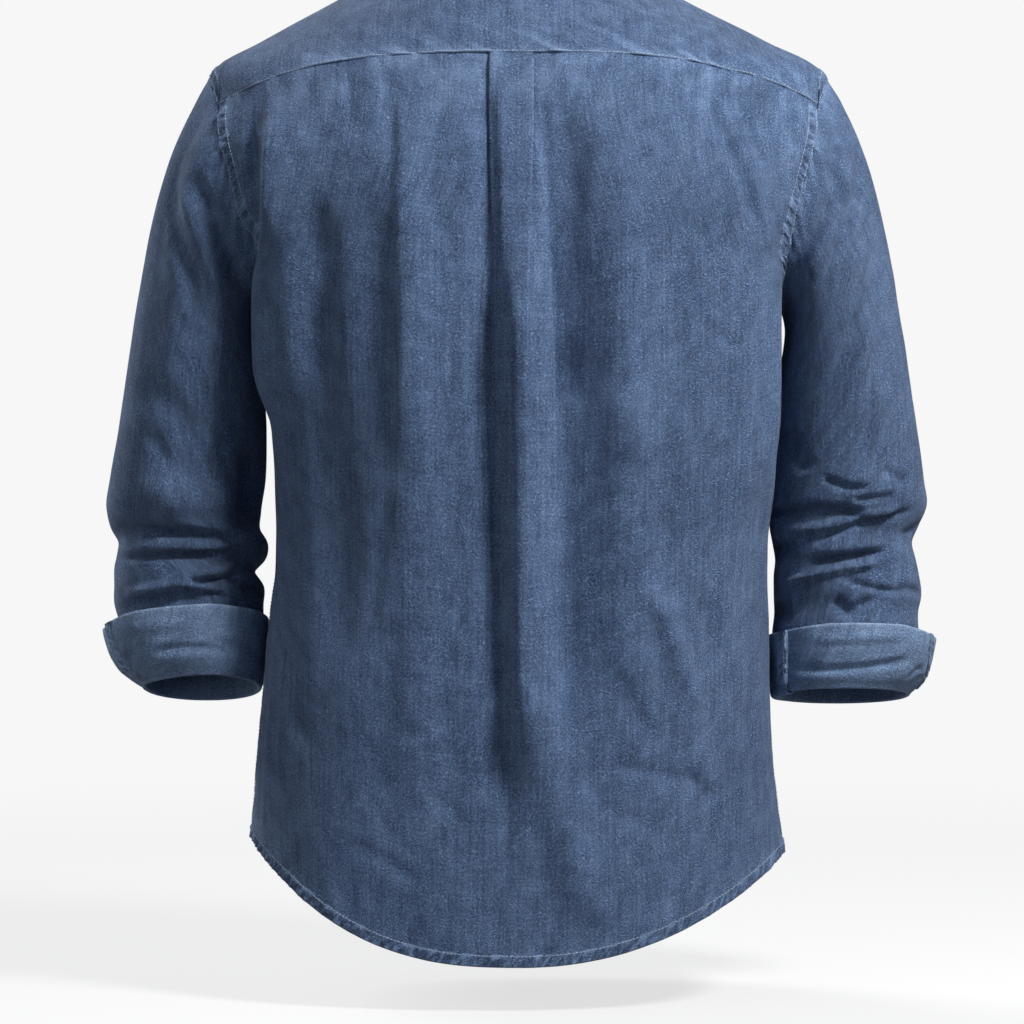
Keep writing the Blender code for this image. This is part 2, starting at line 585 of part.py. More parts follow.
def sleeve_turns(side):
    """The armhole's steps, round the sleeve from its front yoke seam."""
    corner = corner_turn(side)
    return np.concatenate([
        steps(YOKE_FRONT_TURN, corner, ARMHOLE_TOP_STEPS),
        steps(corner, 180, ARMHOLE_BACK_STEPS),
        steps(180, 360 + YOKE_FRONT_TURN, ARMHOLE_FRONT_STEPS)])


def sleeve_runs(side):
    """Rows down the sleeve: even on the cap, then a row at and between rings."""
    heights = column(SLEEVE_RINGS[side], "z")
    between = np.sort(np.concatenate([heights, (heights[:3] + heights[1:4]) / 2]))[::-1]
    tube = 1 + (between - heights[0]) / (heights[-1] - heights[0])
    return np.concatenate([np.linspace(0, 1, CAP_ROWS + 1)[:-1], tube])


def cuff_points(side):
    """The cuff's section, run round the arm with its end lapped over."""
    rings = CUFF_RINGS[side]
    height = column(rings, "height")
    fold = np.radians(np.linspace(180, 360, 4))
    leg = np.linspace(0.005, height[-1], 5)
    # Each row of the section: its height, and its distance in from the rings.
    h = np.concatenate([CUFF_FOLD_RADIUS * np.sin(fold), leg])[:, None]
    inward = np.concatenate([CUFF_FOLD_RADIUS * (1 - np.cos(fold)), 0 * leg])[:, None]

    columns = np.roll(sleeve_turns(side), -CUFF_SEAM_COLUMN - 1)[::-1]
    around = np.concatenate([columns, columns[:2]])[None, :]
    turns = np.concatenate([[0], np.cumsum(-turn_between(around[0, 1:], around[0, :-1]))])[None, :]
    s, c = degrees_sin_cos(around)
    out = roundness(s, c, SLEEVE_SQUARE)
    at = np.clip(h, 0, None)
    inner, outer, depth = (curve(height, column(rings, name), at)
                           for name in ("inner", "outer", "half_depth"))
    x = (inner + outer) / 2 + ((outer - inner) / 2 - inward) * c * out
    y = CUFF_MIDDLE + (depth - inward) * s * out
    z = CUFF_LOWEST_Z[side] + h + CUFF_RISE[side] * s * out
    outside = np.stack([side * x, y, z], axis=-1)
    inside = sleeve(side, around, np.array(CUFF_INNER_RUN), -CUFF_INNER_GAP)
    points = np.concatenate([inside, outside])

    across = np.gradient(points, axis=1)
    along = np.gradient(points, axis=0)
    grown = CUFF_LAP_OUT * smooth((turns - 360 + CUFF_LAP_RUN) / CUFF_LAP_RUN)
    return points + unit(np.cross(along, across)) * side * grown[..., None]


# ------------------------------------------------------- collar and fastening


def risen(edge, distance):
    """An edge moved up by a distance, at right angles to its own run."""
    run = unit(np.gradient(edge, axis=0))
    up = np.array([0.0, 0.0, 1.0]) - run * run[:, 2:]
    return edge + unit(up) * distance


def stand_height(angle):
    front = smooth((np.abs(angle) - 60) / 100)
    return STAND_HEIGHT + (STAND_FRONT_HEIGHT - STAND_HEIGHT) * front


def stand_points(rows=2):
    """The neck band: one turn and a lap, its left end over its right."""
    lap = np.degrees(PLACKET_WIDTH / 2 / ring_radius(1.0))
    leaf = np.linspace(-LEAF_END_ANGLE, LEAF_END_ANGLE, COLLAR_COLUMNS + 1)
    angle = np.concatenate([(-180 - lap, -180), leaf, (180, 180 + lap)])
    up = np.linspace(0, 1, rows + 1)[:, None]
    foot = risen(body_base(angle, 1.0), STAND_SEAM)
    outward = unit(foot * (1, 1, 0))
    spiral = UNDER_LAP / 2 * np.clip(angle / 150, -1, 1)
    point = foot + outward * (spiral - STAND_LEAN * up)[..., None]
    point[..., 2] += up * stand_height(angle)
    return point


def leaf_points(rows=6):
    """The folded collar, from the top of the stand down to its edge."""
    angle = np.linspace(-LEAF_END_ANGLE, LEAF_END_ANGLE, COLLAR_COLUMNS + 1)
    top = risen(stand_points()[-1, 2:-2], LEAF_SEAM)
    outward = unit(top * (1, 1, 0))
    reach = np.clip((np.abs(angle) - 75) / (LEAF_END_ANGLE - 75), 0, 1) ** 2.2
    edge_level = LEAF_BACK_LEVEL + (LEAF_POINT_LEVEL - LEAF_BACK_LEVEL) * reach
    edge = body(angle, edge_level, np.full_like(angle, LEAF_LIFT))
    roll = top + outward * LEAF_ROLL * 1.2
    roll[:, 2] += LEAF_ROLL
    u = (np.linspace(0, 1, rows + 1)[:, None, None]) ** 1.25
    return (1 - u) ** 2 * top[None] + 2 * u * (1 - u) * roll[None] + u * u * edge[None]


def placket_points(columns=2):
    level = front_panel_places(LEFT)[:, 0, 1][:, None]
    level = np.clip(level, level[0] + PLACKET_END_LEVEL, level[-1] - PLACKET_END_LEVEL)
    half = np.degrees((PLACKET_WIDTH / 2 - GAP) / ring_radius(level))
    angle = 180 + half * np.linspace(1, -1, columns + 1)[None, :]
    return body(angle, np.broadcast_to(level, angle.shape), np.full(angle.shape, PLACKET_LIFT))


def button_place(z):
    """Middle of a button's back and the way that it faces, on the placket."""
    levels = np.linspace(0, 1, 400)
    level = float(np.interp(z, body_base(180.0, levels)[:, 2], levels))
    spot = body(180.0, level, np.array(PLACKET_LIFT + CLOTH / 2 + GAP))
    return spot, body_normal(180.0, level)


def collar_button_place():
    points = stand_points()
    near = -2               # the column at the middle of the front
    across = points[1, near + 1] - points[1, near - 1]
    up = points[2, near] - points[0, near]
    facing = unit(np.cross(up, across))
    return points[1, near] + facing * (CLOTH / 2 + GAP), facing


# ------------------------------------------------------------------- objects


def material(name, roughness):
    made = bpy.data.materials.new(name)
    made.use_nodes = True
    shader = made.node_tree.nodes["Principled BSDF"]
    shader.inputs["Base Color"].default_value = (*COLOURS[name], 1)
    shader.inputs["Roughness"].default_value = roughness
    return made


def grid_mesh(name, points, closed=False):
    """Quads over rows and columns of points; closed joins last to first."""
    rows, columns = points.shape[:2]
    made = bmesh.new()
    verts = [[made.verts.new(p) for p in row] for row in points]
    for r in range(rows - 1):
        for c in range(columns if closed else columns - 1):
            d = (c + 1) % columns
            made.faces.new((verts[r][c], verts[r][d], verts[r + 1][d], verts[r + 1][c]))
    bmesh.ops.recalc_face_normals(made, faces=made.faces)
    mesh = bpy.data.meshes.new(name)
    made.to_mesh(mesh)
    made.free()
    mesh.shade_smooth()
    return mesh


def cloth_piece(parts, name, points, finish, closed=False):
    """An open sheet given the thickness of the cloth, half to each side."""
    piece = bpy.data.objects.new(name, grid_mesh(name, points, closed))
    parts.objects.link(piece)
    piece.data.materials.append(finish)
    wall = piece.modifiers.new("cloth wall", "SOLIDIFY")
    wall.thickness = CLOTH
    wall.offset = 0.0
    return piece


def button(parts, name, place, finish):
    """A turned button: thicker at its rim, with rounded edges."""
    spot, facing = place
    radius, thick = BUTTON_RADIUS, BUTTON_THICKNESS
    profile = ((0.0, 0.75 * thick), (0.60 * radius, 0.75 * thick), (0.78 * radius, thick),
               (0.92 * radius, 0.95 * thick), (radius, 0.6 * thick), (0.90 * radius, 0.0),
               (0.0, 0.0))
    mesh = bpy.data.meshes.new(name)
    edges = [(i, i + 1) for i in range(len(profile) - 1)]
    mesh.from_pydata([(x, 0.0, z) for x, z in profile], edges, [])
    made = bpy.data.objects.new(name, mesh)
    parts.objects.link(made)
    made.data.materials.append(finish)
    turned = made.modifiers.new("turned", "SCREW")
    turned.steps = turned.render_steps = BUTTON_STEPS
    turned.use_merge_vertices = True
    turned.merge_threshold = 0.00001
    made.location = spot
    made.rotation_mode = "QUATERNION"
    made.rotation_quaternion = Vector((0, 0, 1)).rotation_difference(Vector(facing))
    return made


def main():
    for old in list(bpy.data.objects):
        bpy.data.objects.remove(old, do_unlink=True)
    parts = bpy.data.collections.new("shirt")
    bpy.context.scene.collection.children.link(parts)
    chambray = material("chambray", 0.85)
    inside = material("chambray_inside", 0.85)
    plastic = material("button", 0.35)

    cloth_piece(parts, "back_panel", back_panel_points(), chambray)
    places = yoke_places()
    cloth_piece(parts, "yoke", body(places[..., 0], places[..., 1]), chambray)
    for side, word in ((LEFT, "left"), (RIGHT, "right")):
        cloth_piece(parts, f"front_{word}", front_panel_points(side), chambray)
        tube = sleeve(side, sleeve_turns(side)[None, :], sleeve_runs(side)[:, None])
        cloth_piece(parts, f"sleeve_{word}", tube, chambray, closed=True)
        cloth_piece(parts, f"cuff_{word}", cuff_points(side), inside)
    cloth_piece(parts, "front_placket", placket_points(), chambray)
    cloth_piece(parts, "collar_stand", stand_points(), chambray)
    cloth_piece(parts, "collar_leaf", leaf_points(), chambray)

    for number in range(BUTTON_COUNT):
        place = button_place(TOP_BUTTON_Z - number * BUTTON_SPACING)
        button(parts, f"button_{number + 1}", place, plastic)
    button(parts, "button_collar", collar_button_place(), plastic)


main()
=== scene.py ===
"""Cloth, sewing, buttons and studio of a casual chambray shirt, filled out and hollow.

Metres, +Z up.  The shirt's front faces -Y and the wearer's left is +X.  The
origin is the middle of the neck opening, level with the points where the
shoulders meet the neck.

A place on the body is an angle and a level.  Angles, in degrees, start at the
middle of the back and grow towards the wearer's left: 90 is the left side and
180 the middle of the front.  Levels run from 0 at the hem to 1 at the neckline.
A place on a sleeve is a turn, 0 outside, 90 behind, 180 next to the body and
270 in front, and a run, 0 at the armhole, 1 at the upper arm, 2 at the end.
Each piece repeats the form of its solid on a finer grid and adds its creases.
"""

from collections import namedtuple

import bpy
import numpy as np
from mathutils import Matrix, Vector

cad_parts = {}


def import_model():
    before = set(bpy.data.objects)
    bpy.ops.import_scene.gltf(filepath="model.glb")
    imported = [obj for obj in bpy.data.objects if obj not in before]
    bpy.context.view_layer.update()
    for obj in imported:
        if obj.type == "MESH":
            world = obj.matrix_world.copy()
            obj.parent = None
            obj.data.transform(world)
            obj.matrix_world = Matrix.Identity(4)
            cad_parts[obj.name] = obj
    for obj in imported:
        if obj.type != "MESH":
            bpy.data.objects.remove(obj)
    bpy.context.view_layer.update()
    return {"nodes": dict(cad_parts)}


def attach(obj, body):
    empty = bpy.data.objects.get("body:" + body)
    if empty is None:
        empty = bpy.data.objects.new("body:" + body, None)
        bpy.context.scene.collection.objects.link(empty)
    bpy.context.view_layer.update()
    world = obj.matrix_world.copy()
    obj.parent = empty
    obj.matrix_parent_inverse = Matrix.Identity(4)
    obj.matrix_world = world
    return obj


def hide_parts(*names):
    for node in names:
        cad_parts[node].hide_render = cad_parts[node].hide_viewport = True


# ---------------------------------------------------------------- dimensions

CLOTH = 0.0012              # thickness of the solids' cloth wall
GAP = 0.0003                # space between neighbouring pieces
PLY = CLOTH + GAP           # how far out the next layer of cloth lies
SHELL = 0.0010              # thickness of the cloth that shows

LEFT, RIGHT = 1, -1         # sides of the wearer, as signs of X
MM = 0.001


def table_of(kind, *values):
    """A table: each row's values under the names of its kind."""
    return tuple(kind(*row) for row in values)


# Rings of the body from hem to neckline: half widths to the left and right,
# depths behind and before the side line, the heights of the ring at the
# middle of the back, at the two sides and at the middle of the front, and the
# exponent of the outline (2 is an ellipse, more is squarer).
BodyRing = namedtuple(
    "BodyRing", "level left right back front z_back z_left z_right z_front square")
BODY_RINGS = table_of(
    BodyRing,
    (0.000, 0.2040, 0.2040, 0.127, 0.124, -0.7666, -0.6795, -0.6890, -0.757, 2.4),
    (0.075, 0.2005, 0.1970, 0.124, 0.122, -0.6900, -0.6250, -0.6310, -0.684, 2.4),
    (0.185, 0.1925, 0.1925, 0.120, 0.120, -0.5820, -0.5440, -0.5470, -0.580, 2.4),
    (0.310, 0.1870, 0.1925, 0.119, 0.119, -0.4600, -0.4450, -0.4460, -0.460, 2.5),
    (0.425, 0.1900, 0.1965, 0.126, 0.122, -0.3480, -0.3500, -0.3500, -0.350, 2.8),
    (0.522, 0.1940, 0.1985, 0.131, 0.123, -0.2560, -0.2700, -0.2700, -0.268, 3.0),
    (0.560, 0.2003, 0.2035, 0.131, 0.122, -0.2230, -0.2410, -0.2410, -0.240, 2.9),
    (0.615, 0.2286, 0.2270, 0.129, 0.119, -0.1850, -0.1980, -0.1980, -0.206, 2.8),
    (0.680, 0.2445, 0.2425, 0.123, 0.112, -0.1440, -0.1500, -0.1500, -0.176, 2.6),
    (0.722, 0.2395, 0.2385, 0.118, 0.107, -0.1220, -0.1220, -0.1230, -0.159, 2.45),
    (0.764, 0.2360, 0.2365, 0.113, 0.100, -0.1020, -0.0960, -0.0970, -0.143, 2.3),
    (0.830, 0.1965, 0.1910, 0.104, 0.089, -0.0760, -0.0700, -0.0705, -0.121, 2.2),
    (0.910, 0.1350, 0.1255, 0.090, 0.073, -0.0450, -0.0360, -0.0370, -0.100, 2.1),
    (1.000, 0.0740, 0.0640, 0.066, 0.060, -0.0160, 0.0000, 0.0000, -0.080, 2.0),
)
RING_RISE_LEFT, RING_RISE_RIGHT = 2.6, 2.15   # how late a ring climbs to its sides

# The armhole is an oval on the body's surface, in degrees and levels.
ARMHOLE_LEVEL, ARMHOLE_HALF_LEVEL = 0.643, 0.121
ARMHOLE_HALF_ANGLE = 32.0
YOKE_FRONT_TURN = -30.0     # where the front yoke seam meets it
YOKE_NECK_ANGLE = 112.0     # where the front yoke seam meets the neckline
YOKE_GAP_ANGLE = 0.35       # degrees that its gap takes

# Back yoke seam: its height in the middle and how far it falls towards the sides.
YOKE_SEAM_Z, YOKE_SEAM_FALL = -0.0890, 0.0345
YOKE_SEAM_HALF_WIDTH, YOKE_SEAM_CURVE = 0.228, 3.3

# Large folds of the body: a soft ridge (height above 0) or trough (below 0)
# along a line from its top to its low end.
BodyFold = namedtuple("BodyFold", "angle_top z_top angle_low z_low half_angle height")
BODY_FOLDS = table_of(
    BodyFold,
    (23, -0.100, 21, -0.700, 8.0, 0.0050),              # ridge left of the pleat
    (40, -0.105, 45, -0.330, 7.0, -0.0035),             # trough towards the left blade
    (45, -0.240, 42, -0.560, 8.0, -0.0045),
    (66, -0.110, 62, -0.420, 9.0, 0.0055),              # rolled edge behind the left arm
    (90, -0.180, 90, -0.520, 17.0, -0.0060),            # left side, drawn in
    (6, -0.170, 4, -0.720, 5.5, -0.0050),               # trough left of the middle
    (-1, -0.220, -2, -0.740, 4.5, 0.0030),              # ridge right of the middle
    (-8, -0.100, -11, -0.620, 6.0, -0.0045),            # trough to the right of it
    (-23, -0.110, -26, -0.420, 9.0, 0.0040),
    (-38, -0.080, -50, -0.230, 7.0, -0.0040),           # below the right blade
    (-30, -0.470, -42, -0.640, 6.0, 0.0050),            # slanting ridge, low right
    (-66, -0.110, -64, -0.420, 9.0, 0.0050),            # rolled edge behind the right arm
    (-90, -0.180, -90, -0.520, 17.0, -0.0060),          # right side, drawn in
    (150, -0.200, 152, -0.690, 8.0, 0.0045),            # left front
    (134, -0.260, 138, -0.600, 8.0, -0.0045),
    (118, -0.150, 116, -0.560, 9.0, 0.0040),
    (-148, -0.180, -151, -0.660, 8.0, 0.0045),          # right front
    (-133, -0.240, -137, -0.620, 8.0, -0.0045),
    (-117, -0.150, -117, -0.540, 9.0, 0.0040),
)

# Box pleat.  Under the yoke the cloth runs in below a strip, folds back out to
# the strip's edge and returns as the strip: three layers a pitch apart.  Lower
# down the layers slide apart until the pleat is a ridge with sloping sides.
PLEAT_MIDDLE_X = 0.0050     # the pleat hangs a little left of the middle
PLEAT_STRIP, PLEAT_STRIP_LOW = 0.0162, 0.0120     # half the strip, shut and open
PLEAT_OVERLAP, PLEAT_SPREAD = 0.0126, 0.0120      # of its layers, shut and open
PLEAT_BORDER = 0.0400       # where the plain back begins
PLEAT_PITCH = 0.0018        # from layer to layer
PLEAT_ROUND = 0.0012        # the bulge of a folded edge
PLEAT_SHUT_Z, PLEAT_OPEN_Z, PLEAT_FLAT_Z = -0.110, -0.310, -0.450

# Sleeve rings below the upper arm, at their middle height: the sides next to
# the body and away from it, the middle and half of the depth, and how much
# higher the back of the ring is than its middle.
SleeveRing = namedtuple("SleeveRing", "z inner outer middle half_depth rise")
SLEEVE_RINGS = {
    LEFT: table_of(
        SleeveRing,
        (-0.335, 0.1965, 0.3035, -0.014, 0.067, 0.000),
        (-0.372, 0.1955, 0.3100, -0.020, 0.066, 0.002),
        (-0.405, 0.1970, 0.3160, -0.025, 0.066, 0.005),
        (-0.430, 0.2005, 0.3190, -0.028, 0.067, 0.008),
        (-0.4435, 0.2010, 0.3160, -0.029, 0.065, 0.009),
        (-0.4545, 0.1950, 0.3100, -0.029, 0.063, 0.010),
        (-0.4650, 0.1965, 0.3110, -0.029, 0.064, 0.010),
        (-0.4750, 0.2050, 0.3130, -0.029, 0.062, 0.011),
        (-0.4880, 0.1980, 0.3130, -0.029, 0.064, 0.011),
        (-0.5020, 0.1985, 0.3130, -0.029, 0.062, 0.011),
        (-0.5160, 0.1985, 0.3095, -0.029, 0.061, 0.011),
        (-0.5360, 0.1990, 0.3080, -0.029, 0.060, 0.011),
    ),
    RIGHT: table_of(
        SleeveRing,
        (-0.335, 0.2010, 0.3030, -0.014, 0.067, 0.000),
        (-0.372, 0.1990, 0.3095, -0.020, 0.066, 0.002),
        (-0.405, 0.1975, 0.3140, -0.025, 0.066, 0.004),
        (-0.427, 0.1965, 0.3165, -0.028, 0.066, 0.006),
        (-0.441, 0.1960, 0.3110, -0.029, 0.064, 0.007),
        (-0.4550, 0.1985, 0.3055, -0.029, 0.062, 0.008),
        (-0.4670, 0.2005, 0.3080, -0.029, 0.064, 0.008),
        (-0.4790, 0.1995, 0.3105, -0.029, 0.062, 0.008),
        (-0.4950, 0.1995, 0.3125, -0.029, 0.064, 0.008),
        (-0.5090, 0.2000, 0.3100, -0.029, 0.061, 0.008),
        (-0.5230, 0.1985, 0.3105, -0.029, 0.062, 0.008),
        (-0.5420, 0.1988, 0.3120, -0.029, 0.062, 0.008),
    ),
}
SLEEVE_SQUARE = 2.15
SLEEVE_SEAM = 0.0005        # gap between the edges of sleeve and body

# Large folds of a sleeve, as lines between two places.
SleeveFold = namedtuple("SleeveFold", "turn_1 z_1 turn_2 z_2 half_width height")
SLEEVE_FOLDS = {
    LEFT: table_of(
        SleeveFold,
        (48, -0.170, 108, -0.300, 0.012, -0.0045),
        (60, -0.330, 100, -0.375, 0.016, -0.0030),
        (150, -0.395, 150, -0.440, 0.020, -0.0070),
        (80, -0.412, 80, -0.420, 0.024, 0.0045),
        (20, -0.4445, 140, -0.4480, 0.0065, -0.0050),
        (40, -0.4640, 170, -0.4600, 0.0060, -0.0045),
        (25, -0.5070, 125, -0.4800, 0.0060, -0.0035),
        (60, -0.4960, 150, -0.4900, 0.0060, -0.0035),
        (200, -0.4480, 330, -0.4560, 0.0070, -0.0045),
        (220, -0.4800, 350, -0.4720, 0.0070, -0.0045),
        (300, -0.200, 250, -0.320, 0.014, -0.0045),
    ),
    RIGHT: table_of(
        SleeveFold,
        (40, -0.150, 115, -0.255, 0.012, -0.0050),
        (70, -0.260, 112, -0.360, 0.014, -0.0040),
        (85, -0.408, 75, -0.416, 0.024, 0.0040),
        (60, -0.4330, 165, -0.4380, 0.0070, -0.0050),
        (5, -0.4400, 45, -0.4480, 0.0065, -0.0035),
        (55, -0.4590, 130, -0.4700, 0.0065, -0.0045),
        (10, -0.4950, 60, -0.4850, 0.0060, -0.0040),
        (70, -0.4960, 100, -0.5080, 0.0060, -0.0035),
        (200, -0.4420, 340, -0.4500, 0.0070, -0.0045),
        (210, -0.4780, 330, -0.4700, 0.0070, -0.0045),
        (300, -0.200, 250, -0.320, 0.014, -0.0045),
    ),
}

# Turned-up cuffs: rings of the outer leg, by height above the lowest edge.
CuffRing = namedtuple("CuffRing", "height inner outer half_depth")
CUFF_RINGS = {
    LEFT: table_of(
        CuffRing,
        (0.000, 0.1995, 0.2925, 0.0560),
        (0.007, 0.1972, 0.3040, 0.0605),
        (0.019, 0.1955, 0.3140, 0.0645),
        (0.034, 0.1942, 0.3195, 0.0665),
        (0.053, 0.1925, 0.3210, 0.0680),
    ),
    RIGHT: table_of(
        CuffRing,
        (0.000, 0.1985, 0.3045, 0.0570),
        (0.007, 0.1975, 0.3125, 0.0610),
        (0.019, 0.1970, 0.3195, 0.0640),
        (0.034, 0.1962, 0.3235, 0.0665),
        (0.051, 0.1950, 0.3250, 0.0680),
    ),
}
CUFF_LOWEST_Z = {LEFT: -0.5650, RIGHT: -0.5715}
CUFF_RISE = {LEFT: 0.0125, RIGHT: 0.0085}
CUFF_MIDDLE = -0.029
CUFF_FOLD_RADIUS = 0.0016   # of the turn at the bottom
CUFF_INNER_RUN = 1.94       # how far up inside the sleeve the cloth comes
CUFF_INNER_GAP = 0.0021     # from the sleeve's middle surface to its own
CUFF_LAP_RUN = 60.0         # the turn over which the end moves out
CUFF_LAP_OUT = 0.0021

# Button placket, collar and buttons.
PLACKET_WIDTH = 0.035
PLACKET_LIFT = PLY + 0.0004
PLACKET_END_LEVEL = 0.002   # it stops just short of the hem and the neckline
UNDER_LAP = 0.0020          # how far the right front lies under the left
UNDER_LAP_FLAT, UNDER_LAP_BLEND = 0.021, 0.030    # where it comes back out
STAND_HEIGHT, STAND_FRONT_HEIGHT = 0.032, 0.026
STAND_LEAN = 0.005
STAND_SEAM = 0.0018         # the stand's foot is this far above the neckline
LEAF_SEAM = 0.0011          # and the leaf above the stand
LEAF_END_ANGLE = 166.0      # the leaf stops short of the middle of the front
LEAF_BACK_LEVEL = 0.972     # how low the leaf reaches behind
LEAF_POINT_LEVEL = 0.850    # how low its points reach
LEAF_LIFT = 0.0045          # its height over the body at its edge
LEAF_ROLL = 0.007           # how far it rolls up and out before it falls
BUTTON_RADIUS, BUTTON_THICKNESS = 0.0056, 0.0024

# Steps of the grids.
SIDE_SEAM_STEPS = 128
ARMHOLE_TOP_STEPS, ARMHOLE_BACK_STEPS, ARMHOLE_FRONT_STEPS = 34, 70, 56
YOKE_FRONT_STEPS, YOKE_SEAM_STEPS, YOKE_ROWS = 30, 190, 40
BACK_SIDE_COLUMNS, PLEAT_FINE, FRONT_COLUMNS = 72, 4, 76
SLEEVE_COLUMNS, CAP_ROWS, TUBE_ROWS = 168, 72, 84
CUFF_COLUMNS, CUFF_FOLD_ROWS, CUFF_ROWS = 190, 8, 26
COLLAR_COLUMNS, STAND_ROWS, LEAF_ROWS, PLACKET_COLUMNS = 150, 16, 26, 14

# Where back and yoke meet: the back's top edge runs up under the yoke and dips
# there, the yoke lifts a little, and beside the pleat the cloth is drawn up.
TUCK_LEVEL, TUCK_DEPTH = 0.010, 0.0005
TUCK_SHARE = 0.030              # of the back's rows, over which it dips
YOKE_LIFT, YOKE_LIFT_REACH = 0.0003, 0.009
PLEAT_TOP_REACH, PLEAT_TOP_SUNK = 0.020, 0.42
BACK_LENGTH = 0.66              # from the hem to the yoke seam
GATHER_START = 0.007            # how far below the seam its gathers are full
PLEAT_EDGE_COLUMN = 12          # the column of the strip's folded edge
YOKE_CLEAR = 2                  # steps by which the back's armhole bands stop short of it
ROW_CURVE, SEAM_CURVE = 2, 4    # how late the back's rows turn to its sides, and to the seam

# Creases, listed in millimetres, as strokes seen from behind: across the
# shirt (X) and up it (Z).  bow is how far the stroke's middle swings; side_a and
# side_b are its half widths, towards the left or below and towards the right or
# above; height is a ridge above 0 or a trough below 0.
Crease = namedtuple("Crease", "x_1 z_1 x_2 z_2 bow side_a side_b height")
BACK_CREASES = table_of(
    Crease,
    (84, -115, 86, -407, 0, 9, 24, 5.0),                # ridge left of the pleat
    (84, -399, 99, -525, 0, 12, 24, 2.6),
    (40, -192, 32, -569, 0, 24, 14, -2.0),
    (21, -96, 17, -340, 0, 15, 8, -5.6),                # deep trough beside the pleat
    (20, -250, 12, -600, 0, 24, 14, -4.0),
    (3, -215, -4, -640, 0, 14, 38, 9.5),                # ridge that the pleat opens into
    (-4, -545, -54, -745, 0, 26, 30, 9.0),
    (-19, -110, -30, -370, 0, 8, 40, -8.0),
    (-27, -290, -34, -600, 0, 14, 48, -7.0),
    (-66, -120, -82, -400, 0, 30, 24, 5.0),
    (-82, -330, -90, -590, 0, 36, 24, 6.0),
    (-101, -163, -127, -362, 0, 16, 14, -1.6),
    (-137, -114, -177, -226, 4, 9, 8, -3.4),            # drag lines off the right blade
    (-166, -120, -183, -175, 0, 6, 6, -2.6),
    (-181, -130, -187, -455, 0, 36, 12, 6.5),
    (-134, -287, -170, -314, 0, 9, 9, -1.6),
    (-132, -488, -162, -574, 0, 12, 12, -2.2),
    (-98, -484, -137, -586, 0, 9, 15, 4.2),             # slanting ridge, low right
    (-68, -540, -101, -603, 0, 14, 8, -2.4),
    (-65, -617, -139, -633, 0, 6, 7, -2.0),             # crumples above the hem
    (-123, -618, -146, -649, 0, 6, 6, -1.6),
    (-53, -643, -127, -680, 0, 9, 9, -1.2),
    (-31, -689, -86, -689, 0, 14, 14, 2.0),
    (140, -185, 138, -436, 0, 18, 18, -1.4),
    (127, -101, 124, -147, 0, 6, 7, -1.8),              # gathers under the yoke
    (98, -101, 93, -163, 0, 7, 8, -2.2),
    (123, -333, 129, -510, 0, 12, 20, -1.8),
    (184, -112, 184, -372, 0, 8, 42, 12.0),             # rolled edge by the left armhole
    (199, -125, 197, -300, 0, 8, 7, -6.5),
    (176, -495, 161, -614, 0, 12, 12, -2.0),
    (90, -602, 46, -583, 0, 7, 8, -1.5),
    (65, -637, 36, -665, 0, 8, 9, -1.2),
    (132, -673, 73, -702, 0, 9, 9, -1.4),
    (-184, -530, -179, -700, 0, 4, 4, 1.3),             # side seams
    (184, -520, 194, -690, 0, 4, 4, 1.3),
    (-10, -79, -10, -92, 0, 3, 3, -1.0),                # nick in the yoke by the pleat
)
FRONT_CREASES = table_of(
    Crease,
    (150, -150, 120, -330, 6, 14, 12, -2.6),            # drag lines from the armholes
    (165, -250, 96, -330, 4, 9, 10, -1.8),
    (-152, -140, -118, -300, -5, 12, 14, -2.8),
    (-168, -262, -92, -352, 5, 10, 9, -2.0),
    (66, -200, 62, -560, 0, 18, 12, 2.4),
    (104, -330, 118, -640, 0, 14, 18, -2.4),
    (-60, -240, -72, -650, 0, 12, 18, 2.6),
    (-106, -300, -116, -560, 0, 18, 14, -2.2),
    (38, -420, 44, -700, 0, 12, 14, -2.0),
    (-36, -380, -40, -720, 0, 14, 12, -2.0),
    (150, -560, 92, -610, 0, 8, 9, -1.6),
    (-140, -590, -84, -620, 0, 9, 8, -1.6),
    (120, -655, 66, -672, 0, 8, 9, -1.4),
    (-62, -690, -104, -676, 0, 9, 8, 1.6),
)
